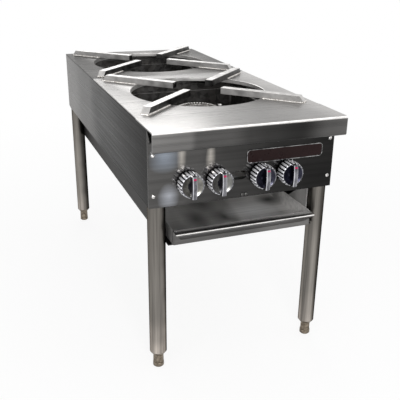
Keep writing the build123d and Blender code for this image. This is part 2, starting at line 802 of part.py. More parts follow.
def knob(knob_x):
    """Fluted round skirt with a dished face and an arched grip standing across its full height."""
    knob_back_y = panel_y - knob_standoff
    skirt_front_y = knob_back_y - knob_skirt_depth
    profile_plane = Plane(origin=(knob_x, knob_back_y, knob_height))
    grip_plane = Plane(origin=(knob_x, skirt_front_y, knob_height), x_dir=(0, 1, 0), z_dir=(1, 0, 0))
    with BuildPart() as body:
        with BuildSketch(profile_plane):
            with BuildLine():
                Polyline(
                    (0, 0),
                    (knob_radius, 0),
                    (knob_radius, -knob_rim_depth),
                    (knob_crown_radius, -knob_skirt_depth),
                    (knob_dish_radius, -knob_skirt_depth),
                    (0, knob_dish_depth - knob_skirt_depth),
                    close=True,
                )
            make_face()
        revolve(axis=Axis((knob_x, knob_back_y, knob_height), (0, 1, 0)))
        with BuildSketch(across(knob_back_y)):
            with Locations((knob_x, knob_height)):
                with PolarLocations(knob_radius, knob_flute_count):
                    Rectangle(2 * knob_flute_depth, knob_flute_width)
        extrude(amount=knob_skirt_depth, mode=Mode.SUBTRACT)
        with BuildSketch(grip_plane):
            with BuildLine():
                Polyline(
                    (-knob_grip_end_depth, -knob_grip_half_length),
                    (0, -knob_grip_half_length),
                    (0, knob_grip_half_length),
                    (-knob_grip_end_depth, knob_grip_half_length),
                )
                ThreePointArc(
                    (-knob_grip_end_depth, knob_grip_half_length),
                    (-knob_grip_depth, 0),
                    (-knob_grip_end_depth, -knob_grip_half_length),
                )
            make_face()
            with Locations((knob_dish_depth / 2, 0)):
                Rectangle(knob_dish_depth, 2 * knob_dish_radius)
        extrude(amount=knob_grip_width / 2, both=True)
        with BuildSketch(across(knob_back_y)):
            with Locations((knob_x, knob_height)):
                Circle(stem_radius + stem_running_clearance)
        extrude(amount=knob_bore_depth, mode=Mode.SUBTRACT)
        with BuildSketch(across(knob_back_y)):
            with Locations((knob_x, knob_height)):
                Circle(knob_radius - knob_flute_depth - knob_wall)
                Circle(knob_hub_radius, mode=Mode.SUBTRACT)
        extrude(amount=knob_hollow_depth, mode=Mode.SUBTRACT)
    return body


for name, knob_x in knob_xs.items():
    write(gas_valve(knob_x), f"gas_valve_{name}")
    write(stem(knob_x), f"stem_{name}")
    write(knob(knob_x), f"knob_{name}")

# ---------------------------------------------------------------- gas piping
with BuildPart() as manifold:
    with BuildSketch(along(manifold_left)):
        with Locations((manifold_y, manifold_z)):
            Circle(pipe_radius)
    extrude(amount=supply_x - manifold_left)
    with Locations((manifold_left, manifold_y, manifold_z)):
        Cylinder(fitting_radius, manifold_cap_length, rotation=(0, 90, 0))
    with Locations((supply_x, manifold_y, manifold_z)):
        Sphere(fitting_radius)
        Cylinder(fitting_radius, fitting_length, rotation=(0, -90, 0), align=upward)
        Cylinder(fitting_radius, fitting_length, rotation=(-90, 0, 0), align=upward)
    with Locations((supply_x, manifold_y + fitting_length - pipe_engagement, manifold_z)):
        Cylinder(
            pipe_radius + weld_gap,
            pipe_engagement,
            rotation=(-90, 0, 0),
            align=upward,
            mode=Mode.SUBTRACT,
        )
    with Locations(*[(knob_x, manifold_y, manifold_z) for knob_x in knob_xs.values()]):
        Cylinder(valve_boss_radius, valve_boss_rise, align=upward)
    with Locations(*[(tap_x, manifold_y, manifold_z) for tap_x in pilot_tap_xs]):
        Cylinder(
            pilot_boss_radius,
            pilot_boss_length,
            rotation=(-90, 0, 0),
            align=upward,
        )
write(manifold, "manifold")

with BuildPart() as supply_pipe:
    with BuildSketch(across(supply_pipe_start)):
        with Locations((supply_x, manifold_z)):
            Circle(pipe_radius)
    extrude(amount=supply_pipe_start - back_y - inlet_projection + inlet_thread_length)
    with BuildSketch(across(back_y + inlet_projection - inlet_thread_length)):
        with Locations((supply_x, manifold_z)):
            Circle(inlet_thread_radius)
    extrude(amount=-inlet_thread_length)
    with BuildSketch(across(back_y + inlet_projection)):
        with Locations((supply_x, manifold_z)):
            Circle(pipe_bore_radius)
    extrude(amount=inlet_bore_depth, mode=Mode.SUBTRACT)
write(supply_pipe, "supply_pipe")


def pilot_tubes(place):
    """Two small tubes from the manifold back to the burner and up beside its head."""
    burner_y = burner_ys[place]
    run_offset = pilot_run_offsets[place]
    with BuildPart() as tubes:
        for hand in (-1, 1):
            if run_offset == pilot_offset:
                bends = [(hand * pilot_offset, burner_y, manifold_z)]
            else:
                bends = [
                    (hand * run_offset, burner_y - 2 * pilot_jog, manifold_z),
                    (hand * pilot_offset, burner_y - pilot_jog, manifold_z),
                    (hand * pilot_offset, burner_y, manifold_z),
                ]
            with BuildLine() as path:
                FilletPolyline(
                    (hand * run_offset, pilot_start_y, manifold_z),
                    *bends,
                    (hand * pilot_offset, burner_y, pilot_head_base_z - seat_gap),
                    radius=pilot_bend_radius,
                )
            with BuildSketch(across(pilot_start_y)):
                with Locations((hand * run_offset, manifold_z)):
                    Circle(pilot_tube_radius)
            sweep(path=path.line)
    return tubes


for place in burner_ys:
    write(pilot_tubes(place), f"pilot_tubes_{place}")

with BuildPart() as pilot_heads:
    for burner_y in burner_ys.values():
        with Locations((0, burner_y, pilot_head_base_z)):
            with GridLocations(2 * pilot_offset, 0, 2, 1):
                Cylinder(pilot_head_radius, pilot_head_height, align=upward)
    chamfer(pilot_heads.edges().group_by(Axis.Z)[-1], pilot_head_radius / 2)
write(pilot_heads, "pilot_heads")


# ---------------------------------------------------------------- tray, guides and gussets
def tray_guide(hand):
    """Skirt between the legs of one side, with a flange below for the tray and one above."""
    start_y = leg_ys["front"] + guide_leg_relief
    end_y = leg_ys["rear"] - guide_leg_relief
    with BuildPart() as guide:
        with BuildSketch(across(start_y)):
            with BuildLine():
                FilletPolyline(
                    (hand * (guide_outer_offset - guide_flange), guide_top - sheet / 2),
                    (hand * (guide_outer_offset - sheet / 2), guide_top - sheet / 2),
                    (hand * (guide_outer_offset - sheet / 2), guide_bottom + sheet / 2),
                    (hand * (guide_outer_offset - guide_flange), guide_bottom + sheet / 2),
                    radius=bend_radius - sheet / 2,
                )
            trace(line_width=sheet)
        extrude(amount=start_y - end_y)
        with BuildSketch(Plane.XY.offset(guide_bottom)):
            with Locations((hand * (guide_outer_offset - guide_flange), (panel_y + back_y) / 2)):
                Rectangle(
                    leg_x - leg_radius - weld_gap - guide_outer_offset + guide_flange,
                    back_y - panel_y,
                    align=(Align.MIN if hand > 0 else Align.MAX, Align.CENTER),
                )
        extrude(amount=sheet)
    return guide


write(tray_guide(-1), "tray_guide_left")
write(tray_guide(1), "tray_guide_right")

with BuildPart() as leg_gussets:
    for end in (-1, 1):
        heel_y = (panel_y + back_y) / 2 + end * (body_depth / 2 - gusset_leg_offset)
        for hand in (-1, 1):
            with BuildSketch(along(hand * gusset_offset)):
                with BuildLine():
                    Polyline(
                        (heel_y, guide_top - gusset_edge_gap),
                        (heel_y, guide_bottom + sheet + seat_gap),
                        (heel_y - end * gusset_length, guide_bottom + sheet + seat_gap),
                        (heel_y - end * gusset_length, guide_bottom + sheet + seat_gap + gusset_nose),
                        (heel_y - end * gusset_nose, guide_top - gusset_edge_gap),
                        close=True,
                    )
                make_face()
            extrude(amount=gusset_thickness / 2, both=True)
write(leg_gussets, "leg_gussets")

with BuildPart() as drip_tray:
    with BuildSketch(Plane.XY.offset(tray_bottom_z)):
        with Locations((0, tray_front_y + tray_depth / 2)):
            RectangleRounded(2 * tray_half_width, tray_depth, tray_corner_radius)
    extrude(amount=tray_wall_height)
    fillet(drip_tray.edges().group_by(Axis.Z)[0], tray_corner_radius / 2)
    offset(amount=-tray_sheet, openings=drip_tray.faces().sort_by(Axis.Z)[-1], mode=Mode.REPLACE)
    with BuildSketch(along(-tray_half_width)):
        with BuildLine():
            FilletPolyline(
                (tray_front_y + tray_sheet, tray_rim_z - tray_sheet / 2),
                (tray_front_y - tray_lip_reach, tray_rim_z - tray_lip_drop),
                (tray_front_y, tray_rim_z - tray_lip_return),
                radius=tray_lip_radius,
            )
        trace(line_width=tray_sheet)
    extrude(amount=2 * tray_half_width)
    for hand in (-1, 1):
        with BuildSketch(across(tray_front_y)):
            with BuildLine():
                Polyline(
                    (hand * tray_half_width, tray_rim_z - tray_lip_radius),
                    (hand * (tray_half_width - tray_lip_end_cut), tray_rim_z - tray_lip_cut_height),
                    (hand * tray_half_width, tray_rim_z - tray_lip_cut_height),
                    close=True,
                )
            make_face()
        extrude(amount=2 * tray_lip_reach, mode=Mode.SUBTRACT)
write(drip_tray, "drip_tray")

# ---------------------------------------------------------------- legs and feet
with BuildPart() as leg_sockets:
    with Locations(*[(*leg_place, 0) for leg_place in leg_places.values()]):
        with Locations((0, 0, leg_top)):
            Cylinder(leg_bore_radius - insert_clearance, socket_plug_length, align=downward)
            Cylinder(stud_radius, stud_length, align=upward)
        with Locations((0, 0, brace_z)):
            Cylinder(washer_radius, washer_thickness, align=upward)
    with BuildSketch(Plane.XY.offset(brace_z + washer_thickness)):
        with Locations(*leg_places.values()):
            RegularPolygon(stud_nut_radius, 6)
    extrude(amount=stud_nut_height)
write(leg_sockets, "leg_sockets")

with BuildPart() as leg_inserts:
    with Locations(*[(*leg_place, 0) for leg_place in leg_places.values()]):
        with Locations((0, 0, leg_bottom)):
            Cone(insert_nose_radius, leg_radius, insert_shoulder_height, align=downward)
            Cylinder(leg_bore_radius - insert_clearance, insert_plug_length, align=upward)
            Cylinder(
                foot_stem_radius + foot_running_clearance,
                2 * (insert_plug_length + insert_shoulder_height),
                mode=Mode.SUBTRACT,
            )
write(leg_inserts, "leg_inserts")


def leg(leg_place):
    """Round leg tube."""
    with BuildPart() as tube:
        with BuildSketch(Plane.XY.offset(leg_bottom + seat_gap)):
            with Locations(leg_place):
                Circle(leg_radius)
                Circle(leg_bore_radius, mode=Mode.SUBTRACT)
        extrude(amount=leg_top - leg_bottom - seat_gap)
    return tube


def foot(leg_place):
    """Adjustable foot: rounded base with wrench flats and a stem up into the leg."""
    with BuildPart() as base:
        with Locations((*leg_place, 0)):
            Cone(foot_bottom_radius, foot_top_radius, foot_height, align=upward)
        chamfer(base.edges().group_by(Axis.Z)[0], foot_edge_chamfer)
        with BuildSketch(Plane.XY.offset(foot_height - foot_flat_height)):
            with Locations(leg_place):
                Circle(2 * foot_bottom_radius)
                RegularPolygon(foot_flat_width / 2, 6, major_radius=False, mode=Mode.SUBTRACT)
        extrude(amount=foot_flat_height, mode=Mode.SUBTRACT)
        with Locations((*leg_place, foot_height)):
            Cylinder(foot_stem_radius, foot_stem_length, align=upward)
    return base


for name, leg_place in leg_places.items():
    write(leg(leg_place), f"leg_{name}")
    write(foot(leg_place), f"foot_{name}")

# ---------------------------------------------------------------- nameplate and screws
with BuildPart() as nameplate:
    with BuildSketch(across(panel_y - seat_gap)):
        with Locations((nameplate_left + nameplate_width / 2, nameplate_bottom + nameplate_height / 2)):
            RectangleRounded(nameplate_width, nameplate_height, nameplate_corner)
    extrude(amount=nameplate_thickness)
    with BuildSketch(across(panel_y - seat_gap - nameplate_thickness)):
        with Locations((nameplate_left + nameplate_width / 2, nameplate_bottom + nameplate_height / 2)):
            RectangleRounded(
                nameplate_width - 2 * nameplate_rim,
                nameplate_height - 2 * nameplate_rim,
                nameplate_corner - nameplate_rim,
            )
    extrude(amount=-nameplate_recess, mode=Mode.SUBTRACT)
write(nameplate, "nameplate")


def round_head_screws(places, head_y, hand, length):
    """Round-head screws; hand is 1 for heads towards the front and -1 for heads towards the back."""
    with BuildPart() as screws:
        for screw_x, screw_z in places:
            with BuildSketch(across(head_y)):
                with Locations((screw_x, screw_z)):
                    Circle(screw_head_radius)
            extrude(amount=hand * screw_head_height, taper=screw_head_taper)
            with BuildSketch(across(head_y)):
                with Locations((screw_x, screw_z)):
                    Circle(screw_shank_radius)
            extrude(amount=-hand * length)
    return screws


panel_screw_places = [(x, z) for x in (-panel_screw_x, panel_screw_x) for z in panel_screw_zs]
small_screw_places = [(hand * small_screw_spacing / 2, under_z + small_screw_rise) for hand in (-1, 1)]
back_screw_places = [(x, z) for x in (-panel_screw_x, panel_screw_x) for z in back_screw_zs]
write(round_head_screws(panel_screw_places, panel_y - seat_gap, 1, screw_length), "panel_screws")
write(round_head_screws(small_screw_places, panel_y - seat_gap, 1, small_screw_length), "small_screws")
write(round_head_screws(back_screw_places, back_y + seat_gap, -1, screw_length), "back_screws")
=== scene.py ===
"""Stock pot range: finished metalwork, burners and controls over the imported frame, in metres."""

import math

import bmesh
import bpy
from mathutils import Matrix, Vector
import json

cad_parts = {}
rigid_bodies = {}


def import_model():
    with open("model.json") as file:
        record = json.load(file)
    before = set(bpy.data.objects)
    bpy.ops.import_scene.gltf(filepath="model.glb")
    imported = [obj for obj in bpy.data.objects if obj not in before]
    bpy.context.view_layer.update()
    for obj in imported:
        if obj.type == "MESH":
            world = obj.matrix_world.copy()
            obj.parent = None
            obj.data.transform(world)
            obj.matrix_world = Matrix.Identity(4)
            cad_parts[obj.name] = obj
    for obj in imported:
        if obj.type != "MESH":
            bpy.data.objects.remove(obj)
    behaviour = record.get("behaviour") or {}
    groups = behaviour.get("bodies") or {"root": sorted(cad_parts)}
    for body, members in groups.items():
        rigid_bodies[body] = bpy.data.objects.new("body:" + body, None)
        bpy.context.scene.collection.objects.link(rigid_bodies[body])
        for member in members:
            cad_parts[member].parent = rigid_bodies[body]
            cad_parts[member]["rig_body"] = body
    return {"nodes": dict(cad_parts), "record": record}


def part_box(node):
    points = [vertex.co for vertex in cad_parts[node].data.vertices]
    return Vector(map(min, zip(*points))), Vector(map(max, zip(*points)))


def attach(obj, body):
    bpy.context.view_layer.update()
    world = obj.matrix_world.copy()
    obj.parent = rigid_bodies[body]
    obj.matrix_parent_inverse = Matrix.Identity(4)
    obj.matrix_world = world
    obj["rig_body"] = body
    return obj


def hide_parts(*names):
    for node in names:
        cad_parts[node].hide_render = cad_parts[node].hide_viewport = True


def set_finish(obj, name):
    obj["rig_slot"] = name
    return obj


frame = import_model()

bl_info = {
    "name": "Stock pot range",
    "version": (1, 0, 0),
    "blender": (4, 5, 0),
    "location": "View3D > Sidebar > Range",
    "description": "Dresses a two-burner stock pot range in brushed steel, castings and chrome",
    "category": "Object",
}

KNOBS = ("front_outer", "front_inner", "rear_inner", "rear_outer")
BURNERS = ("front", "rear")
SIDES = ("left", "right")
LEG_PLACES = tuple(f"{end}_{side}" for end in BURNERS for side in SIDES)
MERGE_DISTANCE = 0.00001


# ---------------------------------------------------------------- settings
class RangeSizes(bpy.types.PropertyGroup):
    """Sizes of the details that the finish adds to the frame."""

    edge_softness: bpy.props.FloatProperty(
        name="Edge softness",
        description="Width of the worn bevel along sheet metal edges",
        default=0.0005,
        min=0.0,
        unit="LENGTH",
    )
    weld_radius: bpy.props.FloatProperty(
        name="Weld radius",
        description="Radius of the weld beads along the pot bars",
        default=0.0032,
        min=0.0,
        unit="LENGTH",
    )
    weld_pitch: bpy.props.FloatProperty(
        name="Weld pitch",
        description="Distance between the ripples of a weld bead",
        default=0.0042,
        min=0.001,
        unit="LENGTH",
    )
    weld_start: bpy.props.FloatProperty(
        name="Weld start",
        description="Distance of a weld's inner end from the burner's centre",
        default=0.181,
        unit="LENGTH",
    )
    flute_count: bpy.props.IntProperty(
        name="Knob flutes",
        description="Grooves round the skirt of a knob",
        default=20,
        min=3,
    )
    flute_depth: bpy.props.FloatProperty(
        name="Flute depth",
        description="Depth of the grooves in a knob's skirt",
        default=0.0026,
        min=0.0,
        unit="LENGTH",
    )
    grip_width: bpy.props.FloatProperty(
        name="Grip width",
        description="Width of the arched grip across a knob",
        default=0.011,
        min=0.001,
        unit="LENGTH",
    )


class RangeColours(bpy.types.PropertyGroup):
    """Colours of the finishes."""

    steel: bpy.props.FloatVectorProperty(
        name="Steel",
        description="Lightest tone of the brushed steel",
        subtype="COLOR",
        size=3,
        min=0.0,
        max=1.0,
        default=(0.44, 0.43, 0.42),
    )
    casting: bpy.props.FloatVectorProperty(
        name="Casting",
        description="Cast iron of the burners",
        subtype="COLOR",
        size=3,
        min=0.0,
        max=1.0,
        default=(0.040, 0.037, 0.035),
    )
    brass: bpy.props.FloatVectorProperty(
        name="Brass",
        description="Gas valves and orifice hoods",
        subtype="COLOR",
        size=3,
        min=0.0,
        max=1.0,
        default=(0.56, 0.37, 0.13),
    )
    index: bpy.props.FloatVectorProperty(
        name="Knob index",
        description="Red mark on each knob's grip",
        subtype="COLOR",
        size=3,
        min=0.0,
        max=1.0,
        default=(0.42, 0.008, 0.075),
    )
    plate: bpy.props.FloatVectorProperty(
        name="Nameplate",
        description="Dark face of the bare nameplate",
        subtype="COLOR",
        size=3,
        min=0.0,
        max=1.0,
        default=(0.012, 0.0035, 0.0035),
    )


# ---------------------------------------------------------------- node helpers
def new_material(name):
    """An empty node material with its output and a Principled shader."""
    material = bpy.data.materials.new(name)
    material.use_nodes = True
    tree = material.node_tree
    tree.nodes.clear()
    shader = tree.nodes.new("ShaderNodeBsdfPrincipled")
    output = tree.nodes.new("ShaderNodeOutputMaterial")
    tree.links.new(shader.outputs["BSDF"], output.inputs["Surface"])
    return material, tree, shader


def stretched_noise(tree, scale, detail=3.0, size=1.0):
    """Noise on Object coordinates, stretched by a Mapping node."""
    coordinates = tree.nodes.new("ShaderNodeTexCoord")
    mapping = tree.nodes.new("ShaderNodeMapping")
    mapping.inputs["Scale"].default_value = scale
    noise = tree.nodes.new("ShaderNodeTexNoise")
    noise.inputs["Scale"].default_value = size
    noise.inputs["Detail"].default_value = detail
    tree.links.new(coordinates.outputs["Object"], mapping.inputs["Vector"])
    tree.links.new(mapping.outputs["Vector"], noise.inputs["Vector"])
    return noise.outputs["Fac"]


def remapped(tree, value, low, high, to_low, to_high):
    """A value moved from one range to another, held inside the second."""
    node = tree.nodes.new("ShaderNodeMapRange")
    node.inputs["From Min"].default_value = low
    node.inputs["From Max"].default_value = high
    node.inputs["To Min"].default_value = to_low
    node.inputs["To Max"].default_value = to_high
    tree.links.new(value, node.inputs["Value"])
    return node.outputs["Result"]


def summed(tree, first, second, operation="ADD"):
    """Two values joined by a Math node."""
    node = tree.nodes.new("ShaderNodeMath")
    node.operation = operation
    tree.links.new(first, node.inputs[0])
    tree.links.new(second, node.inputs[1])
    return node.outputs["Value"]


def colour_ramp(tree, value, stops, blend="LINEAR"):
    """A value turned into colours; stops are (position, (r, g, b))."""
    node = tree.nodes.new("ShaderNodeValToRGB")
    node.color_ramp.interpolation = blend
    elements = node.color_ramp.elements
    while len(elements) < len(stops):
        elements.new(1.0)
    for element, (position, colour) in zip(elements, stops):
        element.position = position
        element.color = (*colour, 1.0)
    tree.links.new(value, node.inputs["Fac"])
    return node.outputs["Color"]


def blended(tree, factor, first, second, mode="MIX"):
    """Two colours mixed; factor is a number or a socket."""
    node = tree.nodes.new("ShaderNodeMix")
    node.data_type = "RGBA"
    node.blend_type = mode
    if isinstance(factor, float):
        node.inputs["Factor"].default_value = factor
    else:
        tree.links.new(factor, node.inputs["Factor"])
    for source, socket in ((first, node.inputs["A"]), (second, node.inputs["B"])):
        if isinstance(source, tuple):
            socket.default_value = (*source, 1.0)
        else:
            tree.links.new(source, socket)
    return node.outputs["Result"]


def bumped(tree, shader, height, strength, distance):
    """Fine relief from a height value."""
    bump = tree.nodes.new("ShaderNodeBump")
    bump.inputs["Strength"].default_value = strength
    bump.inputs["Distance"].default_value = distance
    tree.links.new(height, bump.inputs["Height"])
    tree.links.new(bump.outputs["Normal"], shader.inputs["Normal"])


def along_axis(tree, axis, start, end):
    """0 at start and 1 at end along an object axis."""
    coordinates = tree.nodes.new("ShaderNodeTexCoord")
    separate = tree.nodes.new("ShaderNodeSeparateXYZ")
    tree.links.new(coordinates.outputs["Object"], separate.inputs["Vector"])
    return remapped(tree, separate.outputs[axis], start, end, 0.0, 1.0)


def grain_scale(axis, along, over):
    """Mapping scale of a brush grain that runs along one axis."""
    return tuple(along if name == axis else over for name in "XYZ")


def brushed_steel(
    name,
    stops,
    tone_axis,
    tone_span,
    grain="X",
    roughness=0.3,
    clouds=0.25,
    cloud_scale=(5.0, 5.0, 5.0),
    streak=0.8,
    streak_scale=110.0,
    sheen_stretch=0.0,
    edge=1.0,
    metallic=1.0,
    painted_light_spots=(),
):
    """Brushed sheet steel with grain, cloudy patches and fine scratches, whose tone changes along an axis and
    takes soft spots: both paint reflections, highlights and shade onto it.
    """
    material, tree, shader = new_material(name)
    shader.inputs["Metallic"].default_value = metallic
    shader.inputs["Anisotropic"].default_value = sheen_stretch
    shader.inputs["Specular Tint"].default_value = (edge, edge, edge, 1.0)
    painted_light_drift = along_axis(tree, tone_axis, *tone_span)
    cloud = stretched_noise(tree, cloud_scale, detail=2.0)
    streaks = stretched_noise(tree, grain_scale(grain, 1.6, streak_scale), detail=4.0)
    hairlines = stretched_noise(tree, grain_scale(grain, 9.0, 1400.0), detail=2.0)
    tone = summed(tree, painted_light_drift, remapped(tree, cloud, 0.3, 0.7, -clouds / 2, clouds / 2))
    base = colour_ramp(tree, tone, stops, "EASE")
    # Each spot is a patch of painted light, lighter or darker than the tone under it.
    for spot in painted_light_spots:
        base = painted_light_spot(tree, base, *spot)
    streaked = colour_ramp(tree, streaks, [(0.38, (streak, streak, streak)), (0.62, (1.0, 1.0, 1.0))])
    fine = colour_ramp(tree, hairlines, [(0.30, (0.86, 0.86, 0.86)), (0.70, (1.0, 1.0, 1.0))])
    base = blended(tree, 1.0, base, streaked, "MULTIPLY")
    base = blended(tree, 1.0, base, fine, "MULTIPLY")
    tree.links.new(base, shader.inputs["Base Color"])
    rough = summed(
        tree,
        remapped(tree, streaks, 0.3, 0.7, roughness - 0.05, roughness + 0.05),
        remapped(tree, hairlines, 0.3, 0.7, -0.03, 0.03),
    )
    tree.links.new(rough, shader.inputs["Roughness"])
    bumped(tree, shader, hairlines, 0.12, 0.0003)
    return material


def painted_light_spot(tree, base, centre, reach, colour):
    """Lays a soft-edged, uneven patch of painted light, lighter or darker, over a base colour."""
    coordinates = tree.nodes.new("ShaderNodeTexCoord")
    wander = stretched_noise(tree, (1.0, 1.0, 1.0), detail=1.0, size=16.0)
    offset = tree.nodes.new("ShaderNodeVectorMath")
    offset.operation = "SUBTRACT"
    tree.links.new(coordinates.outputs["Object"], offset.inputs[0])
    offset.inputs[1].default_value = centre
    scaled = tree.nodes.new("ShaderNodeVectorMath")
    scaled.operation = "DIVIDE"
    tree.links.new(offset.outputs["Vector"], scaled.inputs[0])
    scaled.inputs[1].default_value = reach
    length = tree.nodes.new("ShaderNodeVectorMath")
    length.operation = "LENGTH"
    tree.links.new(scaled.outputs["Vector"], length.inputs[0])
    distance = summed(tree, length.outputs["Value"], remapped(tree, wander, 0.3, 0.7, -0.16, 0.16))
    cover = remapped(tree, distance, 0.0, 1.0, 1.0, 0.0)
    return blended(tree, cover, base, colour)


def mottled_metal(name, dark, light, size, roughness, metallic=1.0, relief=0.2, relief_size=900.0):
    """Cast, plated or rolled metal with soft mottling and a fine rough skin."""
    material, tree, shader = new_material(name)
    shader.inputs["Metallic"].default_value = metallic
    mottle = stretched_noise(tree, (1.0, 1.0, 1.0), detail=5.0, size=size)
    skin = stretched_noise(tree, (1.0, 1.0, 1.0), detail=3.0, size=relief_size)
    tree.links.new(colour_ramp(tree, mottle, [(0.32, dark), (0.68, light)]), shader.inputs["Base Color"])
    rough = summed(
        tree,
        remapped(tree, mottle, 0.3, 0.7, roughness - 0.06, roughness + 0.06),
        remapped(tree, skin, 0.3, 0.7, -0.04, 0.04),
    )
    tree.links.new(rough, shader.inputs["Roughness"])
    bumped(tree, shader, skin, relief, 0.0004)
    return material


def zinc_sheet(name, dark, light):
    """Galvanised sheet with a spangle of flat crystals and upright streaks of soot."""
    material, tree, shader = new_material(name)
    shader.inputs["Metallic"].default_value = 1.0
    coordinates = tree.nodes.new("ShaderNodeTexCoord")
    crystals = tree.nodes.new("ShaderNodeTexVoronoi")
    crystals.inputs["Scale"].default_value = 90.0
    tree.links.new(coordinates.outputs["Object"], crystals.inputs["Vector"])
    stain = stretched_noise(tree, (1.0, 1.0, 0.4), detail=4.0, size=14.0)
    separate = tree.nodes.new("ShaderNodeSeparateColor")
    tree.links.new(crystals.outputs["Color"], separate.inputs["Color"])
    spangle = colour_ramp(tree, separate.outputs["Red"], [(0.0, dark), (1.0, light)])
    soot = colour_ramp(tree, stain, [(0.35, (0.45, 0.43, 0.41)), (0.65, (1.0, 1.0, 1.0))])
    tree.links.new(blended(tree, 1.0, spangle, soot, "MULTIPLY"), shader.inputs["Base Color"])
    tree.links.new(remapped(tree, stain, 0.3, 0.7, 0.55, 0.38), shader.inputs["Roughness"])
    bumped(tree, shader, separate.outputs["Red"], 0.1, 0.0002)
    return material


def chrome_finish(name, dark, light, roughness=0.06, metallic=1.0, painted_light_drift=None):
    """Polished plating with faint handling smears, and, when given, a painted reflection that changes its tone
    across the range.
    """
    material, tree, shader = new_material(name)
    shader.inputs["Metallic"].default_value = metallic
    smear = stretched_noise(tree, (1.0, 1.0, 1.0), detail=4.0, size=70.0)
    tone = colour_ramp(tree, smear, [(0.35, dark), (0.6, light)])
    if painted_light_drift:
        across = colour_ramp(tree, along_axis(tree, "X", -0.17, 0.13), painted_light_drift)
        tone = blended(tree, 1.0, tone, across, "MULTIPLY")
    tree.links.new(tone, shader.inputs["Base Color"])
    tree.links.new(remapped(tree, smear, 0.3, 0.7, roughness + 0.06, roughness), shader.inputs["Roughness"])
    bumped(tree, shader, smear, 0.05, 0.0005)
    return material


def enamel_finish(name, colour, roughness=0.25):
    """Coloured enamel with slight unevenness."""
    material, tree, shader = new_material(name)
    shader.inputs["Specular IOR Level"].default_value = 0.15
    wave = stretched_noise(tree, (1.0, 1.0, 1.0), detail=3.0, size=60.0)
    darker = tuple(0.72 * channel for channel in colour)
    tree.links.new(colour_ramp(tree, wave, [(0.3, darker), (0.7, colour)]), shader.inputs["Base Color"])
    tree.links.new(remapped(tree, wave, 0.3, 0.7, roughness, roughness + 0.12), shader.inputs["Roughness"])
    bumped(tree, shader, wave, 0.06, 0.0004)
    return material


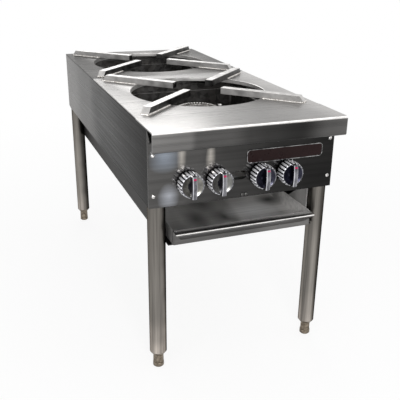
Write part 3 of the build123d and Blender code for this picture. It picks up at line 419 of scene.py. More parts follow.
def finishes():
    """Every finish of the range by a maker's name, made once."""
    made = {material.name: material for material in bpy.data.materials}
    if "top steel" in made:
        return made
    colours = bpy.context.scene.range_colours
    steel = tuple(colours.steel)
    cast = tuple(colours.casting)
    brass = tuple(colours.brass)

    def shade(factor, tint=(1.0, 1.0, 1.0)):
        return tuple(min(1.0, channel * factor * hue) for channel, hue in zip(steel, tint))

    # Painted highlight: the tone across the width and the two bright spots paint lamp reflections onto the front
    # of the top.
    brushed_steel(
        "top steel",
        [
            (0.0, shade(1.04)),
            (0.16, shade(0.98)),
            (0.41, shade(0.80)),
            (0.63, shade(0.73)),
            (0.83, shade(0.96)),
            (1.0, shade(1.40)),
        ],
        "X",
        (-0.23, 0.23),
        clouds=0.10,
        streak=0.93,
        streak_scale=240.0,
        edge=0.75,
        painted_light_spots=(
            ((-0.150, -0.385, 0.610), (0.070, 0.045, 0.05), shade(1.22)),
            ((-0.205, -0.290, 0.610), (0.045, 0.110, 0.05), shade(1.22)),
        ),
    )
    # Painted reflection: the tone across the width stands for the light and dark reflections on the rear plate.
    brushed_steel(
        "rear top steel",
        [(0.0, shade(0.46)), (0.3, shade(0.64)), (0.5, shade(1.0)), (0.75, shade(0.72)), (1.0, shade(0.56))],
        "X",
        (-0.23, 0.23),
        edge=0.45,
        clouds=0.3,
        streak=0.92,
        streak_scale=240.0,
    )
    # Painted reflection: the stops along the rail paint its light and dark reflections.
    brushed_steel(
        "rail steel",
        [
            (0.0, shade(0.48)),
            (0.15, shade(0.43)),
            (0.19, shade(0.24)),
            (0.36, shade(0.25)),
            (0.49, shade(0.14)),
            (0.60, shade(0.11)),
            (0.744, shade(0.075)),
            (0.90, shade(0.27)),
            (1.0, shade(0.32)),
        ],
        "X",
        (-0.231, 0.231),
        clouds=0.05,
    )
    # Painted reflection and shade: the side panels are dark at the front and light at the rear.
    brushed_steel(
        "side steel",
        [(0.0, shade(0.08)), (0.21, shade(0.09)), (0.41, shade(0.14)), (0.67, shade(0.62)), (0.94, shade(0.98))],
        "Y",
        (-0.49, 0.50),
        grain="Y",
        clouds=0.15,
        streak=0.94,
        streak_scale=200.0,
        edge=0.5,
    )
    # Painted reflection: the panel is light at the left and dark at the right; the first two spots are a bluish
    # painted reflection at its left, the last two painted reflections of the knobs.
    brushed_steel(
        "panel steel",
        [
            (0.0, shade(0.27)),
            (0.20, shade(0.24)),
            (0.30, shade(0.17)),
            (0.50, shade(0.12)),
            (0.70, shade(0.075)),
            (1.0, shade(0.05)),
        ],
        "X",
        (-0.23, 0.23),
        roughness=0.17,
        clouds=0.2,
        cloud_scale=(9.0, 9.0, 9.0),
        sheen_stretch=0.7,
        painted_light_spots=(
            ((-0.190, -0.4825, 0.540), (0.040, 0.05, 0.034), shade(0.80, (0.88, 1.0, 1.18))),
            ((-0.181, -0.4825, 0.450), (0.026, 0.05, 0.030), shade(1.0, (0.94, 1.0, 1.12))),
            ((-0.152, -0.4825, 0.538), (0.011, 0.05, 0.046), shade(1.15, (1.0, 0.96, 0.90))),
            ((-0.085, -0.4825, 0.538), (0.011, 0.05, 0.046), shade(1.1, (1.0, 0.96, 0.90))),
        ),
    )
    brushed_steel("back steel", [(0.0, shade(0.5)), (1.0, shade(0.8))], "Z", (0.43, 0.61), clouds=0.4)
    # Painted light: the tray brightens towards the right, and its spots are dark painted reflections and one
    # painted highlight.
    brushed_steel(
        "tray steel",
        [(0.0, shade(0.5)), (0.4, shade(0.9)), (0.7, shade(1.7)), (1.0, shade(1.9))],
        "X",
        (-0.18, 0.18),
        clouds=0.8,
        cloud_scale=(9.0, 2.2, 9.0),
        roughness=0.42,
        metallic=0.15,
        painted_light_spots=(
            ((-0.075, -0.370, 0.335), (0.036, 0.070, 0.06), shade(0.22)),
            ((-0.030, -0.290, 0.335), (0.036, 0.070, 0.06), shade(0.30)),
            ((-0.003, -0.380, 0.335), (0.044, 0.060, 0.06), shade(0.16)),
            ((0.080, -0.370, 0.335), (0.080, 0.080, 0.06), shade(4.0)),
            ((0.150, -0.310, 0.335), (0.050, 0.045, 0.06), shade(0.12)),
        ),
    )
    brushed_steel(
        "tray wall steel",
        [(0.0, shade(0.36)), (0.5, shade(0.30)), (1.0, shade(0.46))],
        "X",
        (-0.18, 0.18),
        clouds=0.5,
        roughness=0.34,
    )
    # Painted shadow: the dark band along the top of the tray guides is the shade under the body.
    brushed_steel(
        "skirt steel",
        [(0.0, shade(0.20)), (0.60, shade(0.24)), (0.76, shade(0.04)), (1.0, shade(0.03))],
        "Z",
        (0.33, 0.43),
        grain="Y",
        clouds=0.06,
        roughness=0.36,
        edge=0.5,
    )
    # Painted reflection and shade: the legs are lighter and warmer at their feet, have dark strips down their
    # right sides, and the rear left leg is darker.
    brushed_steel(
        "tube steel",
        [
            (0.06, shade(1.7, (1.0, 0.92, 0.84))),
            (0.18, shade(1.15, (1.0, 0.93, 0.86))),
            (0.38, shade(0.72, (1.0, 0.955, 0.89))),
            (1.0, shade(0.56, (1.0, 0.955, 0.89))),
        ],
        "Z",
        (0.0, 0.43),
        grain="Z",
        edge=0.1,
        clouds=0.25,
        roughness=0.34,
        streak=0.34,
        streak_scale=62.0,
        painted_light_spots=(
            ((-0.185, 0.0, 0.2), (0.016, 9.0, 9.0), shade(0.08, (1.0, 0.95, 0.88))),
            ((0.226, 0.0, 0.2), (0.016, 9.0, 9.0), shade(0.08, (1.0, 0.95, 0.88))),
            ((-0.195, 0.46, 0.2), (0.024, 0.30, 5.0), shade(0.14, (1.0, 0.95, 0.88))),
        ),
    )
    # Lit and shaded copies of the bar steel: painted lit tops, painted shade on the sides and half-lit faces.
    mottled_metal("bar top steel", shade(0.95), shade(1.45), 55.0, 0.38, relief=0.25)
    mottled_metal("bar side steel", shade(0.06), shade(0.26), 40.0, 0.34, relief=0.25)
    mottled_metal("bar face steel", shade(0.55), shade(0.95), 40.0, 0.42, metallic=0.6, relief=0.25)
    mottled_metal("weld metal", shade(0.7, (1.0, 0.95, 0.88)), shade(1.7), 240.0, 0.42, relief=0.5)
    mottled_metal("foot metal", (0.09, 0.072, 0.054), (0.30, 0.255, 0.20), 120.0, 0.5, relief=0.45)
    mottled_metal("gusset steel", shade(0.8), shade(1.2), 30.0, 0.5, metallic=0.1)
    mottled_metal("collar steel", shade(0.7), shade(1.2), 22.0, 0.45, metallic=0.5)
    mottled_metal("seam shadow", shade(0.10), shade(0.22), 22.0, 0.5)
    # Painted highlight along the rail's front bend and the tray's lip.
    mottled_metal("bright fold", shade(1.6), shade(2.2), 60.0, 0.35, metallic=0.7)
    mottled_metal("tube aluminium", (0.34, 0.34, 0.34), (0.52, 0.52, 0.51), 60.0, 0.42)
    mottled_metal("cast iron", cast, tuple(1.9 * c for c in cast), 90.0, 0.66, metallic=0.35, relief=0.8)
    mottled_metal("ground iron", (0.26, 0.25, 0.24), (0.62, 0.60, 0.57), 160.0, 0.5, relief=0.4)
    mottled_metal("brass", tuple(0.7 * c for c in brass), brass, 150.0, 0.3)
    mottled_metal("black pipe", (0.014, 0.014, 0.015), (0.035, 0.034, 0.033), 80.0, 0.52, metallic=0.2, relief=0.5)
    mottled_metal("zinc plate", shade(0.9), shade(1.6), 200.0, 0.28)
    mottled_metal("dull screw", shade(0.12), shade(0.35), 200.0, 0.35)
    zinc_sheet("galvanised sheet", shade(0.16), shade(0.42))
    # Painted light: a lit copy of the zinc for the liners' flat faces.
    mottled_metal("zinc ledge", shade(1.0), shade(1.5), 30.0, 0.45, metallic=0.15)
    chrome_finish("chrome", (0.50, 0.50, 0.53), (0.72, 0.72, 0.75))
    # Knob chrome in painted-light copies: painted highlights on the lugs, a painted reflection in the dish that
    # darkens towards the right, a painted grey reflection on the crest and round the dish, and painted dark
    # reflections in the flutes and grip sides.
    chrome_finish("bright chrome", (0.75, 0.75, 0.78), (0.97, 0.97, 1.0), roughness=0.16, metallic=0.4)
    chrome_finish(
        "dish chrome",
        (0.55, 0.55, 0.55),
        (1.0, 1.0, 1.0),
        roughness=0.2,
        metallic=0.75,
        painted_light_drift=[
            (0.0, (0.26, 0.25, 0.22)),
            (0.4, (0.20, 0.20, 0.19)),
            (0.65, (0.03, 0.03, 0.048)),
            (1.0, (0.022, 0.022, 0.04)),
        ],
    )
    chrome_finish("grey chrome", (0.10, 0.10, 0.11), (0.24, 0.24, 0.26), roughness=0.12)
    chrome_finish("plate rim", (0.10, 0.10, 0.10), (0.50, 0.50, 0.50), roughness=0.12)
    chrome_finish("dark chrome", (0.012, 0.012, 0.022), (0.050, 0.050, 0.068), roughness=0.1)
    enamel_finish("index red", tuple(colours.index))
    enamel_finish("nameplate face", tuple(colours.plate))
    return {material.name: material for material in bpy.data.materials}


# ---------------------------------------------------------------- piece helpers
def as_piece(shape, name, materials, body, slot, nodes=(), sharp=30.0):
    """Turns a bmesh into a finished piece that rides on a body and stands for its nodes."""
    bmesh.ops.remove_doubles(shape, verts=shape.verts, dist=MERGE_DISTANCE)
    bmesh.ops.recalc_face_normals(shape, faces=shape.faces)
    mesh = bpy.data.meshes.new(name)
    shape.to_mesh(mesh)
    shape.free()
    mesh.shade_smooth()
    mesh.set_sharp_from_angle(angle=math.radians(sharp))
    made = finishes()
    for material in materials:
        mesh.materials.append(made[material])
    piece = bpy.data.objects.new(name, mesh)
    bpy.context.scene.collection.objects.link(piece)
    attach(piece, body)
    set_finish(piece, slot)
    if nodes:
        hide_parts(*nodes)
    return piece


def merged_copy(node):
    """A CAD node's mesh as a bmesh, with its doubles merged and its flat faces joined."""
    shape = bmesh.new()
    shape.from_mesh(frame["nodes"][node].data)
    bmesh.ops.remove_doubles(shape, verts=shape.verts, dist=MERGE_DISTANCE)
    bmesh.ops.dissolve_limit(shape, angle_limit=math.radians(0.5), verts=shape.verts, edges=shape.edges)
    return shape


def soften(shape, width, angle=40.0):
    """Bevels the sharp edges of a bmesh."""
    bmesh.ops.recalc_face_normals(shape, faces=shape.faces)
    edges = [
        edge
        for edge in shape.edges
        if len(edge.link_faces) == 2 and edge.calc_face_angle(0.0) > math.radians(angle) and edge.calc_length() > 4 * width
    ]
    bmesh.ops.bevel(
        shape, geom=edges, offset=width, affect="EDGES", segments=2, profile=0.5, material=-1, clamp_overlap=True
    )


def paint(node, material):
    """Gives a CAD node that stays as it is its finish."""
    mesh = frame["nodes"][node].data
    mesh.materials.clear()
    mesh.materials.append(finishes()[material])
    frame["nodes"][node]["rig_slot"] = slot_of(node)


def slot_of(node):
    """The record's material slot of a node."""
    for part in frame["record"]["subparts"]:
        if part["node"] == node:
            return part["material_slot"]
    raise RuntimeError(f"no material slot holds {node}")


def body_of(node):
    """The body that a node belongs to."""
    return frame["nodes"][node]["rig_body"]


def dressed(node, *materials, soft=True, softness=None, choose=None, sharp=22.0):
    """A softened copy of a CAD node that stands for it; choose picks each face's material."""
    shape = merged_copy(node)
    if soft:
        soften(shape, softness or bpy.context.scene.range_sizes.edge_softness)
    shape.normal_update()
    if choose:
        for face in shape.faces:
            face.material_index = choose(face.calc_center_median(), face.normal)
    return as_piece(
        shape, f"{node}_finish", materials, body_of(node), slot_of(node), [node], sharp=sharp
    )


def extruded_ring(shape, ring, place):
    """Extrudes an open ring of vertices and puts each new one where place says from its old spot."""
    inside = set(ring)
    edges = [edge for edge in shape.edges if set(edge.verts) <= inside and len(edge.link_faces) < 2]
    made = bmesh.ops.extrude_edge_only(shape, edges=edges)
    fresh = [item for item in made["geom"] if isinstance(item, bmesh.types.BMVert)]
    for vertex in fresh:
        vertex.co = place(vertex.co)
    return fresh


def turned(shape, sections, segments, groove=None):
    """Turns a profile of (radius, height, groove depth) sections about Z and closes both ends."""
    radius, height, depth = sections[0]
    ring = bmesh.ops.create_circle(shape, segments=segments, radius=1.0)["verts"]

    def placed(radius, height, depth):
        def place(point):
            angle = math.atan2(point.y, point.x)
            reach = radius - depth * (groove(angle) if groove else 0.0)
            return Vector((reach * math.cos(angle), reach * math.sin(angle), height))

        return place

    first = ring
    for vertex in first:
        vertex.co = placed(radius, height, depth)(vertex.co)
    for section in sections[1:]:
        ring = extruded_ring(shape, ring, placed(*section))
    for end in (first, ring):
        bmesh.ops.contextual_create(shape, geom=end)
    return shape


def carved(shape, cutter, name):
    """A shape with a cutter taken out of it by a Boolean."""
    objects = []
    for part, label in ((shape, f"{name}_blank"), (cutter, f"{name}_cutter")):
        bmesh.ops.recalc_face_normals(part, faces=part.faces)
        mesh = bpy.data.meshes.new(label)
        part.to_mesh(mesh)
        part.free()
        objects.append(bpy.data.objects.new(label, mesh))
        bpy.context.scene.collection.objects.link(objects[-1])
    blank, tool = objects
    cut = blank.modifiers.new("cut", "BOOLEAN")
    cut.operation = "DIFFERENCE"
    cut.solver = "EXACT"
    cut.use_self = True
    cut.object = tool
    bpy.context.view_layer.update()
    result = bmesh.new()
    result.from_object(blank, bpy.context.evaluated_depsgraph_get())
    for item in objects:
        bpy.data.objects.remove(item)
    return result


def facing_front(x, y, z):
    """Turns a shape made about +Z so that it faces the cook, with its back at y."""
    turn = Matrix(((1.0, 0.0, 0.0), (0.0, 0.0, -1.0), (0.0, 1.0, 0.0))).to_4x4()
    return Matrix.Translation((x, y, z)) @ turn


# ---------------------------------------------------------------- sheet metal
class RANGE_OT_sheet_metal(bpy.types.Operator):
    """Brushed side, control and back panels with softened edges"""

    bl_idname = "range.sheet_metal"
    bl_label = "Body panels"

    def execute(self, context):
        for side in SIDES:
            dressed(f"side_panel_{side}", "side steel")
            dressed(f"tray_guide_{side}", "skirt steel")
        dressed("control_panel", "panel steel")
        dressed("back_panel", "back steel")
        dressed("leg_gussets", "gusset steel")
        return {"FINISHED"}


class RANGE_OT_top(bpy.types.Operator):
    """Front rail and top plates with rolled pot openings"""

    bl_idname = "range.top"
    bl_label = "Cooking top"

    def execute(self, context):
        low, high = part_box("front_rail")
        rim = high.z - 0.006

        def rail_zone(centre, normal):
            # Faces on the front bend take a painted highlight.
            if centre.y < low.y + 0.006 and normal.z > 0.3 and normal.y < -0.3:
                return 3
            if centre.z < rim or normal.z < -0.5:
                return 1
            return 2 if self.at_seam(centre) and normal.z < 0.97 else 0

        dressed(
            "front_rail",
            "top steel",
            "rail steel",
            "seam shadow",
            "bright fold",
            softness=0.0011,
            choose=rail_zone,
            sharp=12.0,
        )
        for place in BURNERS:
            low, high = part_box(f"top_plate_{place}")
            top = high.z
            dressed(
                f"top_plate_{place}",
                "top steel" if place == "front" else "rear top steel",
                "collar steel",
                "seam shadow",
                softness=0.0011,
                choose=lambda centre, normal: self.zone(centre, normal, top),
                sharp=12.0,
            )
        return {"FINISHED"}

    def zone(self, centre, normal, top):
        """Which finish a top plate's face takes: flat sheet, turned-down collar or seam edge."""
        if centre.z < top - 0.0035:
            return 1
        at_side = abs(centre.x) > 0.2 and abs(normal.x) > abs(normal.y)
        return 2 if abs(normal.z) < 0.97 and self.at_seam(centre) and not at_side else 0

    def at_seam(self, centre):
        """Whether a point lies on a straight edge and not round a pot opening."""
        return min(abs(centre.y + 0.4), abs(centre.y - 0.051), abs(centre.y - 0.5)) < 0.004


class RANGE_OT_pot_bars(bpy.types.Operator):
    """Pot bars with rippled weld beads along their outer halves"""

    bl_idname = "range.pot_bars"
    bl_label = "Pot bars"

    def execute(self, context):
        for place in BURNERS:
            low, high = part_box(f"pot_bars_{place}")
            middle = (low + high) / 2

            def bar_zone(centre, normal, middle=middle):
                # Painted light: tops take the lit copy, sides facing front left the half-lit copy and other sides
                # the shaded copy.
                if abs(normal.z) > 0.3:
                    return 0
                inward = (middle - centre).to_2d().normalized()
                faces_burner = inward.dot(normal.to_2d()) > 0.9
                return 2 if normal.x + normal.y < -1.2 and not faces_burner else 1

            dressed(
                f"pot_bars_{place}",
                "bar top steel",
                "bar side steel",
                "bar face steel",
                choose=bar_zone,
            )
            self.welds(context.scene.range_sizes, place, Vector((middle.x, middle.y, low.z)))
        return {"FINISHED"}

    def welds(self, sizes, place, centre):
        """Beads down both sides of each bar's outer part and round its end."""
        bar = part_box(f"pot_bars_{place}")
        half_width = 0.010
        reach = math.hypot(bar[1].x - centre.x, bar[1].y - centre.y) - half_width
        shape = bmesh.new()
        for corner in range(4):
            turn = Matrix.Rotation(math.radians(45 + 90 * corner), 3, "Z")
            outline = (
                (Vector((sizes.weld_start, half_width, 0.0)), Vector((reach - 0.002, half_width, 0.0))),
                (Vector((sizes.weld_start, -half_width, 0.0)), Vector((reach - 0.002, -half_width, 0.0))),
                (Vector((reach, -half_width, 0.0)), Vector((reach, half_width, 0.0))),
            )
            for start, end in outline:
                self.bead(shape, centre + turn @ start, centre + turn @ end, sizes)
        as_piece(shape, f"weld_beads_{place}", ["weld metal"], "frame", "steel_bar", sharp=50.0)

    def bead(self, shape, start, end, sizes):
        """One rippled bead between two points."""
        run = end - start
        steps = 2 * max(2, round(run.length / sizes.weld_pitch))
        turn = run.to_track_quat("Z", "Y").to_matrix().to_4x4()
        ring = bmesh.ops.create_circle(
            shape, segments=8, radius=sizes.weld_radius * 0.6, matrix=Matrix.Translation(start) @ turn
        )["verts"]
        first = ring
        for step in range(1, steps + 1):
            ring = extruded_ring(shape, ring, lambda point: point + run / steps)
            centre = start + run * step / steps
            swell = 1.55 if step % 2 else 1 / 1.55
            bmesh.ops.scale(
                shape, verts=ring, vec=(swell, swell, swell), space=Matrix.Translation(-centre)
            )
        for cap in (first, ring):
            bmesh.ops.contextual_create(shape, geom=cap)


class RANGE_OT_burners(bpy.types.Operator):
    """Burner castings, chamber liners, supports, pilots and mixer tubes"""

    bl_idname = "range.burners"
    bl_label = "Burners"

    def execute(self, context):
        for place in BURNERS:
            # Flat faces of the liners take the painted light of the lit zinc copy.
            dressed(
                f"liner_{place}",
                "galvanised sheet",
                "zinc ledge",
                soft=False,
                choose=lambda centre, normal: 1 if abs(normal.z) > 0.7 else 0,
            )
            for casting, crown in (("burner_ring", 0.0046), ("burner_head", 0.0066)):
                node = f"{casting}_{place}"
                crown_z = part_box(node)[1].z - crown
                dressed(
                    node,
                    "cast iron",
                    "ground iron",
                    soft=False,
                    choose=lambda centre, normal: 1 if centre.z > crown_z + 0.0001 else 0,
                )
            paint(f"pilot_tubes_{place}", "tube aluminium")
        for name in KNOBS:
            paint(f"mixer_tube_{name}", "tube aluminium")
        paint("burner_supports", "galvanised sheet")
        paint("air_shutters", "zinc plate")
        paint("pilot_heads", "zinc plate")
        paint("top_cross_members", "galvanised sheet")
        paint("bottom_braces", "galvanised sheet")
        return {"FINISHED"}


class RANGE_OT_gas_train(bpy.types.Operator):
    """Manifold, supply pipe, brass valves, stems and orifice hoods"""

    bl_idname = "range.gas_train"
    bl_label = "Gas train"

    def execute(self, context):
        paint("manifold", "black pipe")
        paint("supply_pipe", "black pipe")
        paint("orifice_hoods", "brass")
        for name in KNOBS:
            paint(f"gas_valve_{name}", "brass")
            paint(f"stem_{name}", "brass")
        return {"FINISHED"}


class RANGE_OT_knobs(bpy.types.Operator):
    """Chrome knobs with fluted skirts, dished faces, arched grips and red index marks"""

    bl_idname = "range.knobs"
    bl_label = "Knobs"
    half_length = 0.0268
    shoulder = 0.0368
    base = 0.019

    def execute(self, context):
        for name in KNOBS:
            node = f"knob_{name}"
            low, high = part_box(node)
            radius = (high.z - low.z) / 2
            place = facing_front((low.x + high.x) / 2, high.y, (low.z + high.z) / 2)
            self.skirt(context.scene.range_sizes, node, radius, place)
            self.grip(context.scene.range_sizes, node, high.y - low.y, place)
            self.index_mark(node, high.y - low.y, place)
        return {"FINISHED"}

    def skirt(self, sizes, node, radius, place):
        """Fluted skirt with a dished face and a hollow back."""

        def flute(angle):
            phase = (angle * sizes.flute_count / math.tau) % 1.0
            return min(1.0, max(0.0, 8.0 * (0.26 - abs(phase - 0.5))))

        depth = sizes.flute_depth
        shape = turned(
            bmesh.new(),
            (
                (0.0041, 0.0120, 0.0),
                (0.0041, 0.0, 0.0),
                (0.0080, 0.0, 0.0),
                (0.0080, 0.0178, 0.0),
                (0.0222, 0.0178, 0.0),
                (0.0232, 0.0, 0.0),
                (radius - 0.0006, 0.0, depth),
                (radius, 0.0008, depth),
                (radius, 0.0190, depth),
                (radius - 0.0006, 0.0222, depth * 0.9),
                (radius - 0.0015, 0.0245, depth * 0.6),
                (radius - 0.0026, 0.0258, 0.0),
                (0.0250, 0.0260, 0.0),
                (0.0238, 0.0256, 0.0),
                (0.0210, 0.0238, 0.0),
                (0.0155, 0.0220, 0.0),
                (0.0090, 0.0211, 0.0),
                (0.0030, 0.0207, 0.0),
            ),
            10 * sizes.flute_count,
            flute,
        )
        shape.normal_update()
        # Painted light: the dish takes a painted reflection, the rim round it a grey one, the flutes a dark one
        # and the lugs a painted highlight.
        for face in shape.faces:
            centre = face.calc_center_median()
            reach = math.hypot(centre.x, centre.y)
            if reach < 0.0232 and centre.z > self.base:
                face.material_index = 2
            elif reach < radius - 0.0026 and centre.z > 0.0255:
                face.material_index = 3
            elif 0.0245 < reach < radius - 0.45 * depth and centre.z < 0.0245:
                face.material_index = 1
        bmesh.ops.transform(shape, matrix=place, verts=shape.verts)
        as_piece(
            shape,
            f"{node}_skirt",
            ["bright chrome", "dark chrome", "dish chrome", "grey chrome"],
            node,
            slot_of(node),
            [node],
            sharp=38.0,
        )

    def arch(self, shape, depth, proud=0.0):
        """The grip's round edge as a circle across the knob, through its front and its square ends."""
        rise = depth - self.shoulder
        radius = (self.half_length**2 + rise**2) / (2 * rise)
        centre = depth - radius
        turn = Matrix.Rotation(math.radians(90), 4, "Y")
        bmesh.ops.create_circle(
            shape, segments=192, radius=radius + proud, matrix=Matrix.Translation((0.0, 0.0, centre)) @ turn
        )
        return radius, centre

    def grip(self, sizes, node, depth, place):
        """Arched fin across the knob whose sides flare into the dish."""
        base = self.base
        shape = bmesh.new()
        self.arch(shape, depth)
        everything = shape.verts[:] + shape.edges[:] + shape.faces[:]
        bmesh.ops.bisect_plane(
            shape,
            geom=everything,
            plane_co=(0.0, 0.0, self.shoulder),
            plane_no=(0.0, 0.0, -1.0),
            clear_outer=True,
        )
        shoulders = [vertex for vertex in shape.verts if len(vertex.link_edges) == 1]
        feet = bmesh.ops.extrude_vert_indiv(shape, verts=shoulders)["verts"]
        for foot in feet:
            foot.co.z = base
            foot.co.y *= 0.97
        shape.edges.new(feet)
        bmesh.ops.bevel(
            shape, geom=shoulders, offset=0.003, affect="VERTICES", segments=5, profile=0.5, material=-1
        )
        half = sizes.grip_width / 2
        slices = ((1.85, 0.16), (1.35, 0.30), (1.04, 0.60), (0.94, 0.93), (0.84, 0.975), (0.66, 1.0))
        slices = [(-width, size) for width, size in slices] + [(width, size) for width, size in reversed(slices)]

        def placed(slice_from, slice_to):
            def place_in(point):
                scale = slice_to[1] / slice_from[1]
                return Vector((slice_to[0] * half, point.y * scale, base + (point.z - base) * scale))

            return place_in

        ring = shape.verts[:]
        first = ring
        for vertex in ring:
            vertex.co = placed((0.0, 1.0), slices[0])(vertex.co)
        for before, after in zip(slices, slices[1:]):
            ring = extruded_ring(shape, ring, placed(before, after))
        for end in (first, ring):
            bmesh.ops.contextual_create(shape, geom=end)
        shape.normal_update()
        # Painted reflections: dark on the grip's flaring sides, grey along the middle of its crest, plain chrome
        # between.
        for face in shape.faces:
            offset = abs(face.calc_center_median().x) / half
            face.material_index = 1 if offset > 0.93 else 2 if offset < 0.5 else 0
        bmesh.ops.transform(shape, matrix=place, verts=shape.verts)
        as_piece(shape, f"{node}_grip", ["chrome", "dark chrome", "grey chrome"], node, slot_of(node), sharp=40.0)

    def index_mark(self, node, depth, place):
        """Red strip over the grip's upper end."""
        shape = bmesh.new()
        radius, centre = self.arch(shape, depth, proud=0.00025)
        low, high = (math.asin(reach / radius) for reach in (0.0150, 0.0245))
        outside = [
            vertex for vertex in shape.verts if not low < math.atan2(vertex.co.y, vertex.co.z - centre) < high
        ]
        bmesh.ops.delete(shape, geom=outside, context="VERTS")
        for vertex in shape.verts:
            vertex.co.x = -0.0034
        extruded_ring(shape, shape.verts[:], lambda point: Vector((0.0034, point.y, point.z)))
        bmesh.ops.solidify(shape, geom=shape.faces[:], thickness=0.0006)
        bmesh.ops.transform(shape, matrix=place, verts=shape.verts)
        as_piece(shape, f"{node}_index", ["index red"], node, slot_of(node), sharp=40.0)


class RANGE_OT_nameplate(bpy.types.Operator):
    """Bare dark nameplate in a chrome rim"""

    bl_idname = "range.nameplate"
    bl_label = "Nameplate"

    def execute(self, context):
        low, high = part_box("nameplate")
        shape = bmesh.new()
        bmesh.ops.create_grid(shape, x_segments=1, y_segments=1, size=0.5)
        bmesh.ops.scale(shape, vec=(high.x - low.x, high.z - low.z, 1.0), verts=shape.verts)
        bmesh.ops.bevel(
            shape,
            geom=shape.verts[:],
            offset=0.009,
            affect="VERTICES",
            segments=6,
            profile=0.5,
            material=-1,
        )
        front = bmesh.ops.extrude_face_region(shape, geom=shape.faces[:])
        raised = [item for item in front["geom"] if isinstance(item, bmesh.types.BMVert)]
        bmesh.ops.translate(shape, vec=(0.0, 0.0, high.y - low.y - 0.0004), verts=raised)
        shape.normal_update()
        face = max(shape.faces, key=lambda item: item.calc_center_median().z)
        for thickness, depth in ((0.0004, 0.0004), (0.0009, 0.0), (0.0007, -0.0010)):
            bmesh.ops.inset_individual(shape, faces=[face], thickness=thickness, depth=depth)
        face.material_index = 1
        place = facing_front((low.x + high.x) / 2, high.y, (low.z + high.z) / 2)
        bmesh.ops.transform(shape, matrix=place, verts=shape.verts)
        as_piece(
            shape,
            "nameplate_finish",
            ["plate rim", "nameplate face"],
            body_of("nameplate"),
            slot_of("nameplate"),
            ["nameplate"],
        )
        return {"FINISHED"}


class RANGE_OT_screws(bpy.types.Operator):
    """Domed screws with cross recesses"""

    bl_idname = "range.screws"
    bl_label = "Screws"

    def execute(self, context):
        for node, material in (
            ("panel_screws", "zinc plate"),
            ("small_screws", "dull screw"),
            ("back_screws", "zinc plate"),
        ):
            self.heads(node, material)
        return {"FINISHED"}

    def heads(self, node, material):
        """Domed heads with cross recesses and plain shanks at each screw of a node."""
        low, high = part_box(node)
        rear = node == "back_screws"
        shape = bmesh.new()
        cutter = bmesh.new()
        for centre in self.centres(node):
            face_y = high.y if rear else low.y
            place = facing_front(centre.x, face_y, centre.y)
            if rear:
                place = place @ Matrix.Rotation(math.pi, 4, "Y")
            self.head(shape, cutter, place)
        body = carved(shape, cutter, node)
        as_piece(body, f"{node}_finish", [material], body_of(node), slot_of(node), [node], sharp=40.0)

    def centres(self, node):
        """The screws' axes in X and Z, read from the node's separate shells."""
        shape = merged_copy(node)
        left = set(shape.verts)
        found = []
        while left:
            shell, edge = set(), [left.pop()]
            while edge:
                vertex = edge.pop()
                shell.add(vertex)
                for link in vertex.link_edges:
                    other = link.other_vert(vertex)
                    if other in left:
                        left.discard(other)
                        edge.append(other)
            xs = [vertex.co.x for vertex in shell]
            zs = [vertex.co.z for vertex in shell]
            found.append(Vector(((min(xs) + max(xs)) / 2, (min(zs) + max(zs)) / 2)))
        shape.free()
        return found

    def head(self, shape, cutter, place):
        """One head, whose top is at the origin, and its cross cutter."""
        screw = turned(
            bmesh.new(),
            (
                (0.0023, -0.0110, 0.0),
                (0.0023, -0.0026, 0.0),
                (0.0046, -0.0026, 0.0),
                (0.0046, -0.0019, 0.0),
                (0.0042, -0.0011, 0.0),
                (0.0034, -0.0005, 0.0),
                (0.0022, -0.0001, 0.0),
                (0.0010, 0.0, 0.0),
            ),
            24,
        )
        mesh = bpy.data.meshes.new("screw blank")
        bmesh.ops.transform(screw, matrix=place, verts=screw.verts)
        screw.to_mesh(mesh)
        screw.free()
        shape.from_mesh(mesh)
        bpy.data.meshes.remove(mesh)
        for angle in (0.0, math.pi / 2):
            slot = bmesh.ops.create_cube(cutter, size=1.0)["verts"]
            bmesh.ops.scale(cutter, vec=(0.0046, 0.0010, 0.0030), verts=slot)
            turn = Matrix.Rotation(angle + 0.3, 4, "Z")
            bmesh.ops.transform(cutter, matrix=place @ turn, verts=slot)


class RANGE_OT_drip_tray(bpy.types.Operator):
    """Drip tray with its folded lip"""

    bl_idname = "range.drip_tray"
    bl_label = "Drip tray"

    def execute(self, context):
        low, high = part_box("drip_tray")
        front_wall = low.y + 0.026

        def zone(centre, normal):
            # Faces along the top of the front lip take a painted highlight.
            if centre.y < low.y + 0.0045 and centre.z > high.z - 0.008 and normal.z > 0.15:
                return 2
            return 1 if centre.y < front_wall or normal.x > 0.7 else 0

        dressed("drip_tray", "tray steel", "tray wall steel", "bright fold", soft=False, choose=zone)
        return {"FINISHED"}


class RANGE_OT_legs(bpy.types.Operator):
    """Tube legs, sockets, inserts and adjustable feet"""

    bl_idname = "range.legs"
    bl_label = "Legs and feet"

    def execute(self, context):
        for place in LEG_PLACES:
            dressed(f"leg_{place}", "tube steel", soft=False)
            dressed(f"foot_{place}", "foot metal", soft=False)
        paint("leg_sockets", "zinc plate")
        dressed("leg_inserts", "foot metal", soft=False)
        return {"FINISHED"}


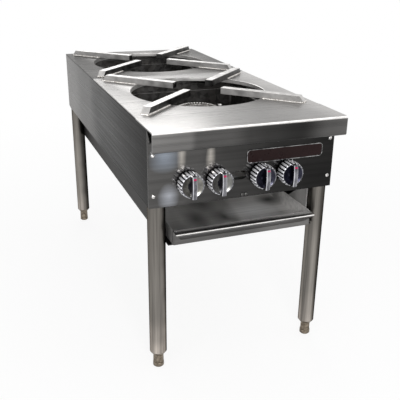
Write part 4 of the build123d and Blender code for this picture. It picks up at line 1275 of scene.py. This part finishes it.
# ---------------------------------------------------------------- stage
class RANGE_OT_studio(bpy.types.Operator):
    """Pale floor, soft lamps and the camera"""

    bl_idname = "range.studio"
    bl_label = "Studio"

    def execute(self, context):
        self.floor()
        self.daylight(context)
        self.lamps(context)
        self.camera(context)
        return {"FINISHED"}

    def floor(self):
        """A wide pale floor that keeps the range's shadow."""
        shape = bmesh.new()
        bmesh.ops.create_circle(shape, cap_ends=True, segments=96, radius=9.0)
        mesh = bpy.data.meshes.new("studio_floor")
        shape.to_mesh(mesh)
        shape.free()
        floor = bpy.data.objects.new("studio_floor", mesh)
        bpy.context.scene.collection.objects.link(floor)
        material = bpy.data.materials.new("studio paper")
        material.use_nodes = True
        tree = material.node_tree
        tree.nodes.clear()
        output = tree.nodes.new("ShaderNodeOutputMaterial")
        paper = tree.nodes.new("ShaderNodeBsdfDiffuse")
        paper.inputs["Color"].default_value = (0.86, 0.86, 0.86, 1.0)
        glow = tree.nodes.new("ShaderNodeEmission")
        glow.inputs["Color"].default_value = (1.0, 1.0, 1.0, 1.0)
        mix = tree.nodes.new("ShaderNodeMixShader")
        coordinates = tree.nodes.new("ShaderNodeTexCoord")
        distance = tree.nodes.new("ShaderNodeVectorMath")
        distance.operation = "LENGTH"
        tree.links.new(coordinates.outputs["Object"], distance.inputs[0])
        fade = remapped(tree, distance.outputs["Value"], 0.8, 2.0, 0.86, 1.0)
        tree.links.new(summed(tree, background_ray(tree, 1.0), fade, "MULTIPLY"), mix.inputs["Fac"])
        tree.links.new(paper.outputs["BSDF"], mix.inputs[1])
        tree.links.new(glow.outputs["Emission"], mix.inputs[2])
        tree.links.new(mix.outputs["Shader"], output.inputs["Surface"])
        mesh.materials.append(material)

    def daylight(self, context):
        """Even white surroundings for the eye and for reflections, softer for lighting."""
        world = bpy.data.worlds.new("studio")
        context.scene.world = world
        world.use_nodes = True
        tree = world.node_tree
        tree.nodes.clear()
        output = tree.nodes.new("ShaderNodeOutputWorld")
        light = tree.nodes.new("ShaderNodeBackground")
        light.inputs["Color"].default_value = (1.0, 1.0, 1.0, 1.0)
        light.inputs["Strength"].default_value = 0.55
        seen = tree.nodes.new("ShaderNodeBackground")
        seen.inputs["Color"].default_value = (1.0, 1.0, 1.0, 1.0)
        seen.inputs["Strength"].default_value = 1.0
        mix = tree.nodes.new("ShaderNodeMixShader")
        tree.links.new(background_ray(tree, 1.0), mix.inputs["Fac"])
        tree.links.new(light.outputs["Background"], mix.inputs[1])
        tree.links.new(seen.outputs["Background"], mix.inputs[2])
        tree.links.new(mix.outputs["Shader"], output.inputs["Surface"])

    def lamps(self, context):
        """Large soft lamps: one behind over the top, one front left, one high and one low in front."""
        self.lamp(context, "back_softbox", (0.2, 3.2, 2.5), (0.0, 0.0, 0.6), (2.4, 1.2), 34.0)
        self.lamp(context, "front_softbox", (-2.6, -2.6, 2.6), (0.0, 0.0, 0.4), (2.2, 2.2), 26.0)
        self.lamp(context, "high_softbox", (0.6, 0.0, 3.4), (0.0, 0.0, 0.5), (2.6, 2.6), 22.0)
        self.lamp(context, "low_softbox", (-0.5, -2.4, 1.15), (0.0, -0.35, 0.34), (0.8, 0.4), 28.0)

    def lamp(self, context, name, place, target, size, power):
        """One rectangular lamp that faces a point."""
        data = bpy.data.lights.new(name, "AREA")
        data.shape = "RECTANGLE"
        data.size, data.size_y = size
        data.energy = power
        lamp = bpy.data.objects.new(name, data)
        context.scene.collection.objects.link(lamp)
        direction = Vector(target) - Vector(place)
        lamp.matrix_world = Matrix.Translation(place) @ direction.to_track_quat("-Z", "Y").to_matrix().to_4x4()

    def camera(self, context):
        """The photograph's viewpoint."""
        azimuth, elevation, roll = (math.radians(angle) for angle in (22.15, 22.0, 1.14))
        forward = Vector(
            (
                math.sin(azimuth) * math.cos(elevation),
                math.cos(azimuth) * math.cos(elevation),
                -math.sin(elevation),
            )
        )
        right = Vector((math.cos(azimuth), -math.sin(azimuth), 0.0))
        up = right.cross(forward)
        turned_right = math.cos(roll) * right + math.sin(roll) * up
        turned_up = math.cos(roll) * up - math.sin(roll) * right
        turn = Matrix((turned_right, turned_up, -forward)).transposed().to_4x4()
        data = bpy.data.cameras.new("camera")
        data.lens = 56.41
        data.sensor_width = 36.0
        data.shift_x = -0.0313
        data.shift_y = -0.001
        data.clip_start = 0.01
        camera = bpy.data.objects.new("camera", data)
        context.scene.collection.objects.link(camera)
        camera.matrix_world = Matrix.Translation((-0.57292, -1.69741, 0.95989)) @ turn
        context.scene.camera = camera
        context.scene.view_settings.view_transform = "Standard"


def background_ray(tree, strength):
    """1 for rays of the camera, of reflections and of glass, times a strength."""
    path = tree.nodes.new("ShaderNodeLightPath")
    total = summed(tree, path.outputs["Is Camera Ray"], path.outputs["Is Glossy Ray"], "MAXIMUM")
    total = summed(tree, total, path.outputs["Is Transmission Ray"], "MAXIMUM")
    return remapped(tree, total, 0.0, 1.0, 0.0, strength)


# ---------------------------------------------------------------- panel and run
class RANGE_PT_finish(bpy.types.Panel):
    """Lists the range's pieces and settings."""

    bl_idname = "RANGE_PT_finish"
    bl_label = "Stock pot range"
    bl_space_type = "VIEW_3D"
    bl_region_type = "UI"
    bl_category = "Range"

    def draw(self, context):
        for group in (context.scene.range_sizes, context.scene.range_colours):
            box = self.layout.box()
            for name in group.__annotations__:
                box.prop(group, name)
        for operator in OPERATORS:
            self.layout.operator(operator.bl_idname)


OPERATORS = (
    RANGE_OT_studio,
    RANGE_OT_sheet_metal,
    RANGE_OT_top,
    RANGE_OT_pot_bars,
    RANGE_OT_burners,
    RANGE_OT_gas_train,
    RANGE_OT_knobs,
    RANGE_OT_nameplate,
    RANGE_OT_screws,
    RANGE_OT_drip_tray,
    RANGE_OT_legs,
)
CLASSES = (RangeSizes, RangeColours, *OPERATORS, RANGE_PT_finish)


def register():
    for cls in CLASSES:
        bpy.utils.register_class(cls)
    bpy.types.Scene.range_sizes = bpy.props.PointerProperty(type=RangeSizes)
    bpy.types.Scene.range_colours = bpy.props.PointerProperty(type=RangeColours)


def unregister():
    del bpy.types.Scene.range_colours
    del bpy.types.Scene.range_sizes
    for cls in reversed(CLASSES):
        bpy.utils.unregister_class(cls)


def main():
    """Builds every piece in order."""
    import json

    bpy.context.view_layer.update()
    register()
    for operator in OPERATORS:
        module, action = operator.bl_idname.split(".")
        getattr(getattr(bpy.ops, module), action)()


if __name__ == "__main__":
    main()
